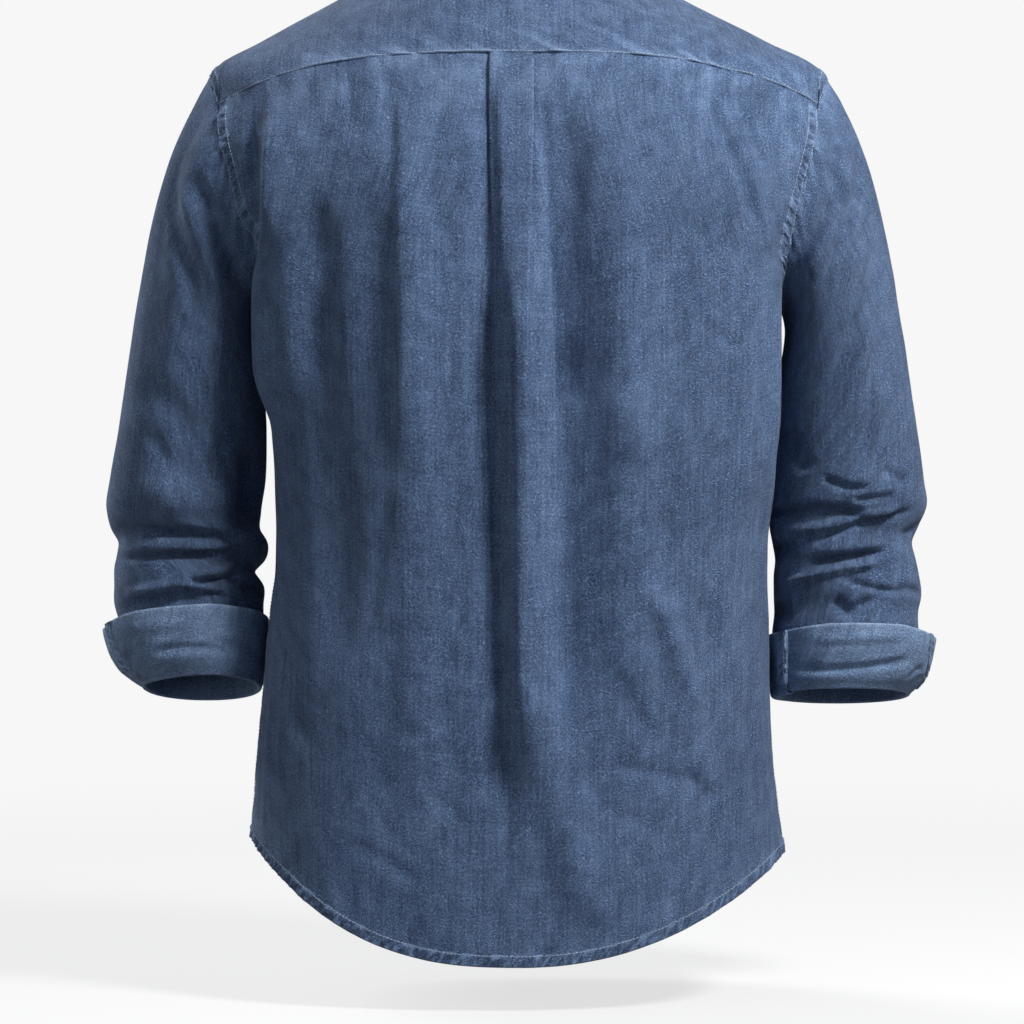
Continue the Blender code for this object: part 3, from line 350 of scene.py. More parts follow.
SLEEVE_CREASES = {
    LEFT: table_of(
        Crease,
        (247, -172, 206, -271, 3, 11, 9, -5.1),         # long drag from the shoulder
        (254, -185, 224, -266, 0, 9, 9, 3.2),
        (272, -269, 288, -360, 0, 16, 16, -2.0),
        (282, -417, 212, -421, 0, 22, 20, 3.7),         # the bulge above the elbow
        (206, -376, 199, -444, 0, 14, 10, -6.1),
        (283, -446, 207, -454, 2, 5, 7, -6.3),          # bunched folds below it
        (297, -457, 215, -459, 0, 4, 4, 2.2),
        (309, -466, 227, -465, 2, 5, 5, -5.6),
        (304, -494, 203, -467, -2, 6, 6, 5.6),
        (257, -482, 210, -481, 0, 5, 5, -5.4),
        (263, -485, 204, -496, 2, 4, 4, 3.8),
        (289, -500, 236, -497, 0, 5, 5, -4.4),
        (213, -490, 192, -490, 0, 10, 10, -5.6),
        (231, -376, 218, -398, 0, 7, 7, -2.0),
        (280, -368, 265, -398, 0, 9, 9, -1.7),
    ),
    RIGHT: table_of(
        Crease,
        (-242, -137, -240, -199, -2, 9, 8, -5.1),       # long bend from the shoulder
        (-242, -190, -205, -260, -2, 9, 8, -5.1),
        (-252, -141, -250, -205, 0, 7, 8, 3.2),
        (-250, -196, -219, -257, 0, 7, 8, 3.2),
        (-269, -231, -278, -345, 0, 12, 12, -2.2),
        (-202, -363, -222, -401, 0, 9, 10, -4.9),
        (-230, -403, -269, -411, -4, 5, 5, -4.1),
        (-253, -421, -287, -418, 0, 4, 5, -3.5),
        (-187, -433, -268, -434, 5, 6, 7, -8.1),        # bunched folds at the elbow
        (-212, -447, -294, -427, 2, 5, 5, 5.2),
        (-222, -454, -304, -428, 2, 4, 4, -4.6),
        (-193, -459, -215, -459, 0, 11, 11, -6.8),
        (-219, -468, -285, -459, -2, 5, 6, -7.0),
        (-202, -487, -278, -468, 2, 4, 4, 6.2),
        (-245, -481, -304, -493, -2, 4, 5, -4.1),
        (-239, -496, -259, -513, 0, 8, 8, -4.1),
        (-195, -507, -212, -507, 0, 10, 10, -5.9),
        (-275, -398, -297, -409, 0, 5, 6, -2.2),
    ),
}
SLEEVE_FRONT_CREASES = table_of(    # by distance out from the middle, for both sleeves
    Crease,
    (238, -150, 246, -300, 4, 11, 10, -3.4),
    (262, -180, 270, -330, 0, 14, 12, 2.0),
    (206, -420, 296, -432, 3, 6, 7, -4.6),
    (214, -438, 300, -452, 0, 5, 5, 2.4),
    (204, -458, 284, -452, 2, 5, 6, -4.4),
    (210, -474, 306, -486, 2, 6, 6, 2.8),
    (202, -492, 270, -480, 0, 5, 6, -4.0),
    (230, -505, 300, -508, 0, 5, 5, -2.6),
)
CREASE_FADE, FOLD_FADE = 0.20, 0.22     # share of a line over which each end fades
SIDE_BLEND = 0.03               # over which the back's creases give way to the front's
BEHIND_BLEND = 0.35             # the same on a tube, as the sine of the turn
ARM_RADIUS = 0.060              # turns a sleeve's turns into lengths
SLEEVE_START = 0.10             # of its run, over which its folds begin

# Drape: broad, soft waves that hang down the cloth, and a fine crumple.
DRAPE_WIDTH, DRAPE_LENGTH, DRAPE_HEIGHT = 0.034, 0.210, 0.0011
DRAPE_DEPTH = 0.7               # how much the depth counts as a way across
FINE_DRAPE, FINE_DRAPE_ACROSS, FINE_DRAPE_UP = 0.6, 2.1, 2.6    # its share, and how much finer
CRUMPLE_SIZE, CRUMPLE_HEIGHT = 0.0130, 0.00028
CRUMPLE_SLANT, CRUMPLE_TALL = 0.4, 0.6
CALM_TOP, CALM_REACH = 0.03, 0.10       # the drape grows below the neck
NOISE_CELLS = 64
BODY_SEED, SLEEVE_SEED, CUFF_SEED, STAND_SEED, LEAF_SEED = 1, 7, 17, 31, 37
SLEEVE_DRAPE, CUFF_DRAPE, STAND_DRAPE, LEAF_DRAPE = 0.7, 0.8, 0.3, 0.4      # shares of it

# Puckers beside a line of sewing: the height of the waves at the line, how far
# in from it they fade, and their length along it.
Pucker = namedtuple("Pucker", "height reach length seed")
GATHER = Pucker(0.00100, 0.030, 0.0110, 11)        # back, below the yoke seam
GATHER_FINE = Pucker(0.00045, 0.010, 0.0060, 12)
YOKE_PUCKER = Pucker(0.00110, 0.013, 0.0075, 13)
ARMHOLE_PUCKER = Pucker(0.00075, 0.013, 0.0085, 14)
HEM_PUCKER = Pucker(0.00055, 0.020, 0.0110, 15)
SEAM_PUCKER = Pucker(0.00035, 0.009, 0.0100, 16)
CUFF_PUCKER = Pucker(0.0006, 0.010, 0.0095, 28)
PUCKER_LONG = 2.6               # how much longer a wave is inwards than along the edge
FINE_PUCKER, FINE_PUCKER_SIZE, FINE_SEED = 0.5, 2.3, 50
# Pucker crests are painted lighter, as wear and as a painted highlight: the height at which that is
# full, and how much at most.
PUCKER_WEAR_AND_HIGHLIGHT_HEIGHT, PUCKER_WEAR_AND_HIGHLIGHT = 0.0012, 0.35       # the height that wears, and how much at most

# Sewn bands: a doubled layer's width and height over the cloth, the height,
# length and slant of its puckers, and its lines of stitches, in from its edge.
Band = namedtuple("Band", "width height rope rope_length slant rows seed")
HEM_BAND = Band(0.0096, 0.0011, 0.00125, 0.0021, 0.7, (0.0082,), 21)
ARMHOLE_BAND = Band(0.0106, 0.0011, 0.00105, 0.0034, 0.0, (0.0014, 0.0090), 22)
YOKE_STITCH = 0.0012            # from the yoke's edge
SIDE_BAND = Band(0.0080, 0.0009, 0.00040, 0.0080, 0.0, (0.0064,), 27)
CUFF_BAND = Band(0.0112, 0.0015, 0.00085, 0.0036, 0.5, (0.0018, 0.0094), 24)
BAND_STEP = 0.0009              # along a band
ROPE_WIDE = 1.2                 # the puckers' cells across a band
FINE_ROPE, FINE_ROPE_SIZE, FINE_ROPE_WIDE, FINE_ROPE_SEED = 0.5, 2.2, 2.0, 30
BAND_WEAR, BAND_EDGE_WEAR, BAND_EDGE_REACH = 0.04, 0.40, 0.0010
# How much the rope puckers lighten a band on their crests and darken it in their hollows: wear, and
# painted highlight and painted shade.
ROPE_WEAR_AND_PAINTED_LIGHT, ROPE_HOLLOW_PAINTED_SHADE = 0.62, -0.7
EDGE_WEAR, EDGE_WEAR_REACH = 0.5, 0.0022

STITCH_PITCH, STITCH_LENGTH = 0.0029, 0.0023
STITCH_WIDTH, STITCH_HEIGHT = 0.00080, 0.00050

# Creases of the cuffs, in the same way as the others.
CUFF_CREASES = {
    LEFT: table_of(
        Crease,
        (282, -538, 214, -538, 4, 5, 6, -2.4),
        (236, -527, 199, -536, 0, 5, 6, -1.6),
        (306, -548, 284, -528, 0, 4, 4, -1.4),
        (300, -520, 250, -514, 0, 6, 6, 1.2),
    ),
    RIGHT: table_of(
        Crease,
        (-204, -549, -306, -541, -5, 5, 6, -2.8),
        (-296, -560, -310, -548, 0, 4, 4, -1.8),
        (-297, -567, -311, -555, 0, 4, 4, -1.6),
        (-222, -528, -300, -524, 0, 6, 6, 1.4),
    ),
}
CUFF_START, CUFF_OVERLAP = {LEFT: 52.0, RIGHT: 167.0}, 24.0     # where their ends lap over
# How much lower the turned-up edge is, in millimetres, by turn round the arm.
CUFF_DROP_TURNS = (-180, -90, -30, 0, 25, 60, 110, 150, 180)
CUFF_DROPS = {
    LEFT: (4, 2, 6, 11, 11.5, 4.5, 0, 0.5, 4),
    RIGHT: (7, 3, 6, 11, 9, 3, 2.5, 6, 7),
}
# Their bands, by the edge that each follows and how far in from it.
CUFF_BANDS = {LEFT: (("last", 0.0),), RIGHT: (("last", 0.0), ("first", 0.156))}

PLACKET_STITCH, COLLAR_STITCH = 0.0055, 0.0050
STITCH_LIFT = 0.0001
# Steps of a grid over which a change along an edge comes in.
TUCK_STEPS, PLEAT_STEPS, HOLE_STEPS, YOKE_STEPS = 5.0, 3.0, 6.0, 4.0
SLEEVE_WEAR_REACH, SLEEVE_WEAR = 0.0015, 0.6            # at its armhole
CUFF_LEG = 0.050                # height of the cuff's outer leg
CUFF_LEG_START = 0.003          # of its first row above the turn
CUFF_CREASE_START = 0.012       # height at which its creases are full
CUFF_BAND_ROW = CUFF_FOLD_ROWS + 2      # where its bands begin
CUFF_PUCKER_FADE = 0.01
CUFF_FOLD_WEAR, CUFF_FOLD_WEAR_ROWS = 0.35, 2.0
STAND_END_STEPS = 12
STAND_FALL_START, STAND_FALL_TURN = 60.0, 100.0         # where it gets lower, in degrees
STAND_SPIRAL_TURN = 150.0       # over which its two ends part, one out and one in
LEAF_FALL_START, LEAF_FALL_CURVE = 75.0, 2.2            # where it falls to its points
LEAF_ROLL_OUT = 1.2             # how much more it rolls out than up
LEAF_ROW_CURVE = 1.25           # how its rows crowd towards its top

# Buttons: the profile from the middle of the front out and round to the back, as
# shares of radius and thickness, then the holes, each a thin dark disc of painted shade, and
# thread.
BUTTON_DISH = 0.66
BUTTON_PROFILE = (
    (0.0, BUTTON_DISH), (0.46, BUTTON_DISH), (0.60, 0.74), (0.72, 0.93), (0.80, 1.00), (0.90, 0.97),
    (0.97, 0.80), (1.0, 0.50), (0.97, 0.20), (0.90, 0.04), (0.0, 0.0))
BUTTON_SIDES, DRUM_SIDES = 40, 12
BUTTON_HOLE_OUT, BUTTON_HOLE_RADIUS, BUTTON_HOLE_HEIGHT = 0.0013, 0.00055, 0.00006
BUTTON_THREAD_RADIUS, BUTTON_THREAD_LENGTH, BUTTON_THREAD_LIFT = 0.00032, 0.0026, 0.0002

# ------------------------------------------------------------------- helpers


def column(table, name):
    return np.array([getattr(row, name) for row in table], dtype=float)


def curve(knots, values, at):
    """A smooth curve through the rows of a table, read at any places."""
    at = np.asarray(at, dtype=float)
    slopes = np.gradient(values, knots, axis=-1)
    i = np.clip(np.searchsorted(knots, at) - 1, 0, len(knots) - 2)
    step = knots[i + 1] - knots[i]
    u = (at - knots[i]) / step
    low, high = values[..., i], values[..., i + 1]
    return ((1 + 2 * u) * (1 - u) ** 2 * low + u * (1 - u) ** 2 * step * slopes[..., i]
            + u * u * (3 - 2 * u) * high + u * u * (u - 1) * step * slopes[..., i + 1])


def matched(a, b):
    """Both as numbers of one shape."""
    return np.broadcast_arrays(np.asarray(a, float), np.asarray(b, float))


def smooth(x):
    x = np.clip(x, 0.0, 1.0)
    return x * x * (3 - 2 * x)


def bell(distance):
    """1 at 0, falling softly to 0 at 1."""
    return np.clip(1 - np.asarray(distance) ** 2, 0, None) ** 2


def unit(vectors):
    return vectors / np.linalg.norm(vectors, axis=-1, keepdims=True)


def degrees_sin_cos(angle):
    return np.sin(np.radians(angle)), np.cos(np.radians(angle))


def roundness(s, c, square):
    """How far an outline with this exponent lies outside its ellipse."""
    return (np.abs(s) ** square + np.abs(c) ** square) ** (-1 / square)


# ---------------------------------------------------------------------- body


def body_ring(name, level):
    return curve(column(BODY_RINGS, "level"), column(BODY_RINGS, name), level)


def body_base(angle, level):
    """The body's surface without its folds."""
    angle, level = matched(angle, level)

    def ring(name):
        return body_ring(name, level)

    s, c = degrees_sin_cos(angle)
    out = roundness(s, c, ring("square"))
    x = np.where(s >= 0, ring("left"), ring("right")) * s * out
    y = np.where(c >= 0, ring("back"), ring("front")) * c * out
    z_middle = np.where(c >= 0, ring("z_back"), ring("z_front"))
    z_side = np.where(s >= 0, ring("z_left"), ring("z_right"))
    rise = np.where(s >= 0, RING_RISE_LEFT, RING_RISE_RIGHT)
    z = z_middle + (z_side - z_middle) * np.abs(s * out) ** rise
    return np.stack([x, y, z], axis=-1)


def body_normal(angle, level):
    turn, climb = 0.05, 0.0005
    across = body_base(angle + turn, level) - body_base(angle - turn, level)
    up = body_base(angle, level + climb) - body_base(angle, level - climb)
    return unit(np.cross(up, across))


def turn_between(a, b):
    """The shorter way from one angle to the other, in degrees."""
    return (a - b + 180.0) % 360.0 - 180.0


def noise(u, v, seed):
    """Smooth noise from -1 to 1 with cells of one unit."""
    table = np.random.default_rng(seed).uniform(-1, 1, (NOISE_CELLS, NOISE_CELLS))
    i, j = np.floor(u).astype(int), np.floor(v).astype(int)
    a, b = smooth(u - i), smooth(v - j)

    def at(m, n):
        return table[m % NOISE_CELLS, n % NOISE_CELLS]

    low = at(i, j) * (1 - a) + at(i + 1, j) * a
    high = at(i, j + 1) * (1 - a) + at(i + 1, j + 1) * a
    return low * (1 - b) + high * b


def crease_height(creases, x, z):
    """Sum of the strokes at places across and up the shirt, in metres."""
    x, z = x / MM, z / MM
    height = np.zeros_like(x)
    for crease in creases:
        run_x, run_z = crease.x_2 - crease.x_1, crease.z_2 - crease.z_1
        length = np.hypot(run_x, run_z)
        out_x, out_z = x - crease.x_1, z - crease.z_1
        along = (out_x * run_x + out_z * run_z) / length ** 2
        away = (out_x * run_z - out_z * run_x) / length
        away = away - crease.bow * 4 * along * (1 - along)
        width = np.where(away > 0, crease.side_b, crease.side_a)
        ends = smooth(along / CREASE_FADE) * smooth((1 - along) / CREASE_FADE)
        height += crease.height * MM * bell(away / width) * ends
    return height


def cloth_height(point, seed):
    """Broad drape and fine crumple of any cloth, from where it is."""
    x, y, z = point[..., 0], point[..., 1], point[..., 2]
    across = x + DRAPE_DEPTH * y
    drape = noise(across / DRAPE_WIDTH, z / DRAPE_LENGTH, seed)
    drape += FINE_DRAPE * noise(across / DRAPE_WIDTH * FINE_DRAPE_ACROSS,
                                z / DRAPE_LENGTH * FINE_DRAPE_UP, seed + 1)
    crumple = noise(across / CRUMPLE_SIZE + CRUMPLE_SLANT * z / CRUMPLE_SIZE,
                    z / CRUMPLE_SIZE * CRUMPLE_TALL, seed + 2)
    return DRAPE_HEIGHT * drape + CRUMPLE_HEIGHT * crumple


def body_fold_height(angle, point):
    """Folds by angle, creases by place, and drape, at a point of the body."""
    z = point[..., 2]
    height = np.zeros_like(z)
    for fold in BODY_FOLDS:
        along = (fold.z_top - z) / (fold.z_top - fold.z_low)
        line = fold.angle_top + (fold.angle_low - fold.angle_top) * np.clip(along, 0, 1)
        ends = smooth(along / FOLD_FADE) * smooth((1 - along) / FOLD_FADE)
        height += fold.height * bell(turn_between(angle, line) / fold.half_angle) * ends
    behind = smooth(point[..., 1] / SIDE_BLEND)
    before = smooth(-point[..., 1] / SIDE_BLEND)
    height += behind * crease_height(BACK_CREASES, point[..., 0], z)
    height += before * crease_height(FRONT_CREASES, point[..., 0], z)
    calm = smooth((-z - CALM_TOP) / CALM_REACH)
    return height + calm * cloth_height(point, BODY_SEED)


def body(angle, level, lift=0.0):
    """A point of the body's surface, with its folds, or lift above it."""
    angle, level = matched(angle, level)
    base = body_base(angle, level)
    height = body_fold_height(angle, base) + lift
    return base + body_normal(angle, level) * height[..., None]


def ring_radius(level):
    """Metres for each radian of angle, near the middle of the back."""
    return (body_ring("left", level) + body_ring("right", level)) / 2


def armhole(turn, side):
    """Angle and level on the armhole; turn is 0 at its top and 90 behind."""
    s, c = degrees_sin_cos(np.asarray(turn, float))
    angle = side * (90.0 - ARMHOLE_HALF_ANGLE * s)
    return angle, ARMHOLE_LEVEL + ARMHOLE_HALF_LEVEL * c


HALVINGS = 30
YOKE_SEAM_LEVELS = 0.60, 0.95       # between which the yoke seam lies
CORNER_TURNS = 20.0, 80.0           # between which the armhole meets it


def yoke_seam_level(angle):
    """The level where the back yoke seam crosses an angle, by halving."""
    angle = np.asarray(angle, float)
    low, high = (np.full_like(angle, level) for level in YOKE_SEAM_LEVELS)
    for _ in range(HALVINGS):
        middle = (low + high) / 2
        point = body_base(angle, middle)
        out = np.abs(point[..., 0]) / YOKE_SEAM_HALF_WIDTH
        above = point[..., 2] > YOKE_SEAM_Z - YOKE_SEAM_FALL * out ** YOKE_SEAM_CURVE
        high = np.where(above, middle, high)
        low = np.where(above, low, middle)
    return (low + high) / 2


def corner_turn(side):
    """The armhole's turn where the back yoke seam meets it, by halving."""
    low, high = CORNER_TURNS
    for _ in range(HALVINGS):
        middle = (low + high) / 2
        angle, level = armhole(middle, side)
        low, high = (middle, high) if level > yoke_seam_level(angle) else (low, middle)
    return (low + high) / 2


def blend_edges(bottom, top, left, right):
    """Places inside four edges, each a list of angle and level pairs."""
    u = np.linspace(0, 1, len(bottom))[None, :, None]
    v = np.linspace(0, 1, len(left))[:, None, None]
    across = (1 - v) * bottom[None] + v * top[None]
    upward = (1 - u) * left[:, None] + u * right[:, None]
    corners = ((1 - u) * (1 - v) * bottom[0] + u * (1 - v) * bottom[-1]
               + (1 - u) * v * top[0] + u * v * top[-1])
    return across + upward - corners


def pairs(angle, level):
    return np.stack(matched(angle, level), axis=-1)


HALF_GAP_LEVEL = 0.0005     # levels that half the gap at the yoke's seams takes
ARMPIT_LEVEL = ARMHOLE_LEVEL - ARMHOLE_HALF_LEVEL


def steps(first, last, count):
    """Even steps from first up to, but without, last."""
    return np.linspace(first, last, count + 1)[:-1]


def side_edge(side, hole_steps, last_turn):
    """Side seam from the hem, then armhole up to last_turn; 180 is its bottom."""
    seam = pairs(side * 90.0, steps(0, ARMPIT_LEVEL, SIDE_SEAM_STEPS))
    hole = pairs(*armhole(np.linspace(180, last_turn, hole_steps + 1), side))
    hole[0, 0] = side * 90.0
    return np.vstack([seam, hole])


# -------------------------------------------------------------------- panels


# From the inner fold out to the plain back: share of the way, depth in pitches.
PLEAT_UNDER = ((0.0, 2.0), (0.25, 2.0), (0.5, 1.4), (0.75, 0.4), (1.0, 0.0))


def pleat_section(z):
    """Half of the pleat at each height: ways out from its middle, and depths."""
    shut = smooth((z - PLEAT_OPEN_Z) / (PLEAT_SHUT_Z - PLEAT_OPEN_Z))
    deep = smooth((z - PLEAT_FLAT_Z) / (PLEAT_OPEN_Z - PLEAT_FLAT_Z))
    edge = PLEAT_STRIP * shut + PLEAT_STRIP_LOW * (1 - shut)
    overlap = PLEAT_OVERLAP * shut - PLEAT_SPREAD * (1 - shut)
    fold = edge - overlap
    inset = np.minimum(PLEAT_ROUND, overlap / 3)
    step = PLEAT_PITCH / 6 * (1 - smooth(overlap / (3 * PLEAT_ROUND)))
    start = fold + PLEAT_ROUND
    ways = [0 * edge, edge / 2, edge - PLEAT_ROUND, edge, edge - inset, fold + inset, fold]
    depths = [0 * edge, 0 * edge, 0 * edge, 0.5 * PLEAT_PITCH + 0 * edge,
              PLEAT_PITCH - step, PLEAT_PITCH + step, 1.5 * PLEAT_PITCH + 0 * edge]
    for share, sunk in PLEAT_UNDER:
        ways.append(start + (PLEAT_BORDER - start) * share)
        depths.append(sunk * PLEAT_PITCH + 0 * edge)
    knots = np.arange(len(ways), dtype=float)
    at = np.linspace(0, knots[-1], len(knots[1:]) * PLEAT_FINE + 1)
    ways, depths = (curve(knots, np.stack(rows, axis=-1), at) for rows in (ways, depths))
    return ways, depths * deep[..., None]


def back_panel_places():
    """Angle, level and depth of the back: rows from hem to yoke seam."""
    sides = {side: side_edge(side, ARMHOLE_BACK_STEPS, corner_turn(side))
             for side in (RIGHT, LEFT)}
    share = np.linspace(0, 1, SIDE_SEAM_STEPS + ARMHOLE_BACK_STEPS + 1)
    middle_level = share * float(yoke_seam_level(0.0))
    radius = ring_radius(middle_level)
    middle_angle = np.degrees(PLEAT_MIDDLE_X / radius)
    way, depth = pleat_section(body_base(middle_angle, middle_level)[..., 2])

    def half(side):
        """Angles and depths from the pleat's middle to one side."""
        pleat = middle_angle[:, None] + side * np.degrees(way / radius[:, None])
        edge = sides[side][:, 0]
        outward = np.linspace(0, 1, BACK_SIDE_COLUMNS + 1)[1:]
        plain = pleat[:, -1:] + (edge - pleat[:, -1])[:, None] * outward
        return np.hstack([pleat, plain]), np.hstack([depth, np.zeros_like(plain)])

    left_angle, left_depth = half(LEFT)
    right_angle, right_depth = half(RIGHT)
    angle = np.hstack([right_angle[:, :0:-1], left_angle])
    depth = np.hstack([right_depth[:, :0:-1], left_depth])

    level = np.empty_like(angle)
    for side in (RIGHT, LEFT):
        edge = sides[side]
        here = angle >= 0 if side == LEFT else angle < 0
        out = np.clip(np.abs(angle / edge[:, :1]), 0, 1) ** ROW_CURVE
        row_level = middle_level[:, None] + (edge[:, 1] - middle_level)[:, None] * out
        correction = yoke_seam_level(angle[-1]) - row_level[-1]
        level = np.where(here, row_level + share[:, None] ** SEAM_CURVE * correction, level)
    return angle, level, depth


FRONT_CORNER_RISE = 0.02        # levels, at the centre line


def front_panel_places(side):
    """Rows from the hem to the neckline, columns from the centre to the side.

    The side edge is the side seam, the armhole and the front yoke seam.
    """
    lower = side_edge(side, ARMHOLE_FRONT_STEPS, 360 + YOKE_FRONT_TURN)
    corner_level = lower[-1, 1]
    centre_level = np.concatenate([
        steps(0, ARMPIT_LEVEL, SIDE_SEAM_STEPS),
        steps(ARMPIT_LEVEL, corner_level + FRONT_CORNER_RISE, ARMHOLE_FRONT_STEPS),
        np.linspace(corner_level + FRONT_CORNER_RISE, 1 - HALF_GAP_LEVEL, YOKE_FRONT_STEPS + 1)])
    neck_end = np.array([side * YOKE_NECK_ANGLE, centre_level[-1]])
    yoke_seam = np.linspace(lower[-1], neck_end, YOKE_FRONT_STEPS + 1)
    yoke_seam[:, 0] += side * YOKE_GAP_ANGLE
    edge = np.vstack([lower[:-1], yoke_seam])
    lap = np.degrees(PLACKET_WIDTH / 2 / ring_radius(centre_level))
    centre = pairs(side * (180.0 + lap), centre_level)
    bottom = np.linspace(centre[0], edge[0], FRONT_COLUMNS + 1)
    top = np.linspace(centre[-1], edge[-1], FRONT_COLUMNS + 1)
    return blend_edges(bottom, top, centre, edge)


def yoke_places():
    """Rows from the outer edge in to the neckline; columns right to left."""
    right, left = (pairs(*armhole(steps(YOKE_FRONT_TURN, corner_turn(side), ARMHOLE_TOP_STEPS),
                                  side)) for side in (RIGHT, LEFT))
    ends = [armhole(corner_turn(side), side)[0] for side in (RIGHT, LEFT)]
    seam_angle = np.linspace(*ends, YOKE_SEAM_STEPS + 1)
    seam = pairs(seam_angle, yoke_seam_level(seam_angle) + HALF_GAP_LEVEL)
    outer = np.vstack([right, seam, left[::-1]])
    inner = pairs(np.linspace(-YOKE_NECK_ANGLE, YOKE_NECK_ANGLE, len(outer)), 1.0)
    ends = [np.linspace(outer[i], inner[i], YOKE_ROWS + 1) for i in (0, -1)]
    return blend_edges(outer, inner, ends[0], ends[1])


# ------------------------------------------------------------------- sleeves


def sleeve_ring(side, turn, z):
    """A point of the sleeve below the upper arm, without folds."""
    rings = SLEEVE_RINGS[side]
    down = -column(rings, "z")

    def ring(name):
        return curve(down, column(rings, name), -z)

    s, c = degrees_sin_cos(turn)
    out = roundness(s, c, SLEEVE_SQUARE)
    inner, outer = ring("inner"), ring("outer")
    x = (inner + outer) / 2 + (outer - inner) / 2 * c * out
    y = ring("middle") + ring("half_depth") * s * out
    return np.stack([side * x, y, z + ring("rise") * s * out], axis=-1)


LEAVE_OUT, LEAVE_OUT_LOW = 0.48, 0.42       # the way a sleeve leaves its armhole
LEAVE_DOWN, LEAVE_DOWN_LOW = 0.84, 0.40
# Shares of its length by which the cap's curve keeps to its two ends' directions,
# and the step down over which the lower direction is read.
CAP_PULL, CAP_ARRIVE, CAP_STEP = 0.18, 0.36, 0.004
SEAM_TURN = 0.5             # to either side of a place, to read the seam's direction


def sleeve_base(side, turn, run):
    """A point of the sleeve without folds; run is 0 to 2 down the sleeve."""
    turn, run = matched(turn, run)
    top, end = SLEEVE_RINGS[side][0].z, SLEEVE_RINGS[side][-1].z
    tube = sleeve_ring(side, turn, top + (end - top) * np.clip(run - 1, 0, None))
    s, c = degrees_sin_cos(turn)
    lower = (1 - c) / 2
    leave = unit(np.stack([side * (LEAVE_OUT + LEAVE_OUT_LOW * lower), 0.0 * s,
                           LEAVE_DOWN_LOW * lower - LEAVE_DOWN], axis=-1))
    seam = unit(body(*armhole(turn + SEAM_TURN, side))
                - body(*armhole(turn - SEAM_TURN, side)))
    leave = unit(leave - np.sum(leave * seam, axis=-1, keepdims=True) * seam)
    normal = body_normal(*armhole(turn, side))
    into = side * np.cross(seam, normal)
    along, away = (np.sum(leave * way, axis=-1, keepdims=True) for way in (into, normal))
    stand_off = np.where(along > 0, SLEEVE_SEAM + CLOTH / 2 * away,
                         (SLEEVE_SEAM + CLOTH / 2 * (1 - along)) / away)
    start = body(*armhole(turn, side)) + into * stand_off
    upper = sleeve_ring(side, turn, np.full_like(run, top))
    below = sleeve_ring(side, turn, np.full_like(run, top - CAP_STEP))
    arrive = unit(below - upper)
    length = np.linalg.norm(upper - start, axis=-1, keepdims=True)
    u = np.clip(run, 0, 1)[..., None]
    first = start + leave * length * (CAP_PULL + CAP_PULL * c * c)[..., None]
    second = upper - arrive * length * CAP_ARRIVE
    cap = ((1 - u) ** 3 * start + 3 * u * (1 - u) ** 2 * first
           + 3 * u * u * (1 - u) * second + u ** 3 * upper)
    return np.where(run[..., None] < 1, cap, tube)


def sleeve_normal(side, turn, run):
    step_turn, step_run = 0.5, 0.002
    across = sleeve_base(side, turn + step_turn, run) - sleeve_base(side, turn - step_turn, run)
    low_run = np.clip(run - step_run, 0, None)
    down = sleeve_base(side, turn, run + step_run) - sleeve_base(side, turn, low_run)
    return unit(np.cross(down, across)) * side


# ------------------------------------------------------------------ surfaces


# Each edge of a grid: its axis, and whether it lies at the far end.
EDGES = {"bottom": (0, False), "top": (0, True), "first": (1, False), "last": (1, True)}
LEAST_SQUARE = 0.45         # of a line that leaves an edge aslant


class Surface:
    """A grid of points of the cloth and the way out from it at each of them."""

    def __init__(self, points, out, plain=None):
        self.points, self.out = points, out
        self.plain = points if plain is None else plain     # without folds, for lengths of cloth
        self.wear_and_painted_light = np.zeros(points.shape[:2])

    def lift(self, height):
        self.points = self.points + self.out * height[..., None]

    def inward(self, edge, plain=False):
        """Distance in from an edge to each point, along the lines that leave it."""
        axis, flipped = EDGES[edge]
        grid = self.plain if plain else self.points
        grid = np.flip(grid, axis) if flipped else grid
        gone = np.cumsum(np.linalg.norm(np.diff(grid, axis=axis), axis=-1), axis=axis)
        gone = np.insert(gone, 0, 0.0, axis=axis)
        return np.flip(gone, axis) if flipped else gone

    def along(self, edge):
        """Distance along the lines that follow an edge."""
        return self.inward("first" if EDGES[edge][0] == 0 else "bottom")

    def at(self, row, column):
        """Points and ways out at fractional rows and columns."""
        rows, columns = self.points.shape[:2]
        row, column = np.broadcast_arrays(row, column)
        i = np.clip(row.astype(int), 0, rows - 2)
        j = np.clip(column.astype(int), 0, columns - 2)
        a, b = (row - i)[..., None], (column - j)[..., None]

        def read(grid):
            near = grid[i, j] * (1 - b) + grid[i, j + 1] * b
            far = grid[i + 1, j] * (1 - b) + grid[i + 1, j + 1] * b
            return near * (1 - a) + far * a

        return read(self.points), unit(read(self.out))

    def line(self, edge, distance, first=0, last=None):
        """Rows and columns of a line at a distance in from an edge, evenly spaced."""
        axis, flipped = EDGES[edge]
        gone, grid = self.inward(edge), self.points
        if axis == 1:
            gone, grid = gone.T, np.swapaxes(grid, 0, 1)
        if flipped:
            gone, grid = gone[::-1], grid[::-1]
        stations = np.arange(gone.shape[1])[first:last]
        run = unit(np.gradient(grid[0], axis=0))
        leave = unit(grid[2] - grid[0])
        square = np.clip(np.linalg.norm(np.cross(run, leave), axis=-1), LEAST_SQUARE, 1)
        count = np.arange(len(gone))
        step = np.array([np.interp(distance / square[k], gone[:, k], count) for k in stations])
        if flipped:
            step = len(gone) - 1 - step
        return (step, stations) if axis == 0 else (stations, step)


def spread(surface, line, spacing):
    """Evenly spaced lengths along a line, and the length at each of its points."""
    row, column = line
    point, _ = surface.at(row, column)
    gone = np.insert(np.cumsum(np.linalg.norm(np.diff(point, axis=0), axis=-1)), 0, 0.0)
    at = np.linspace(0, gone[-1], max(int(gone[-1] / spacing), 2) + 1)
    return at, gone


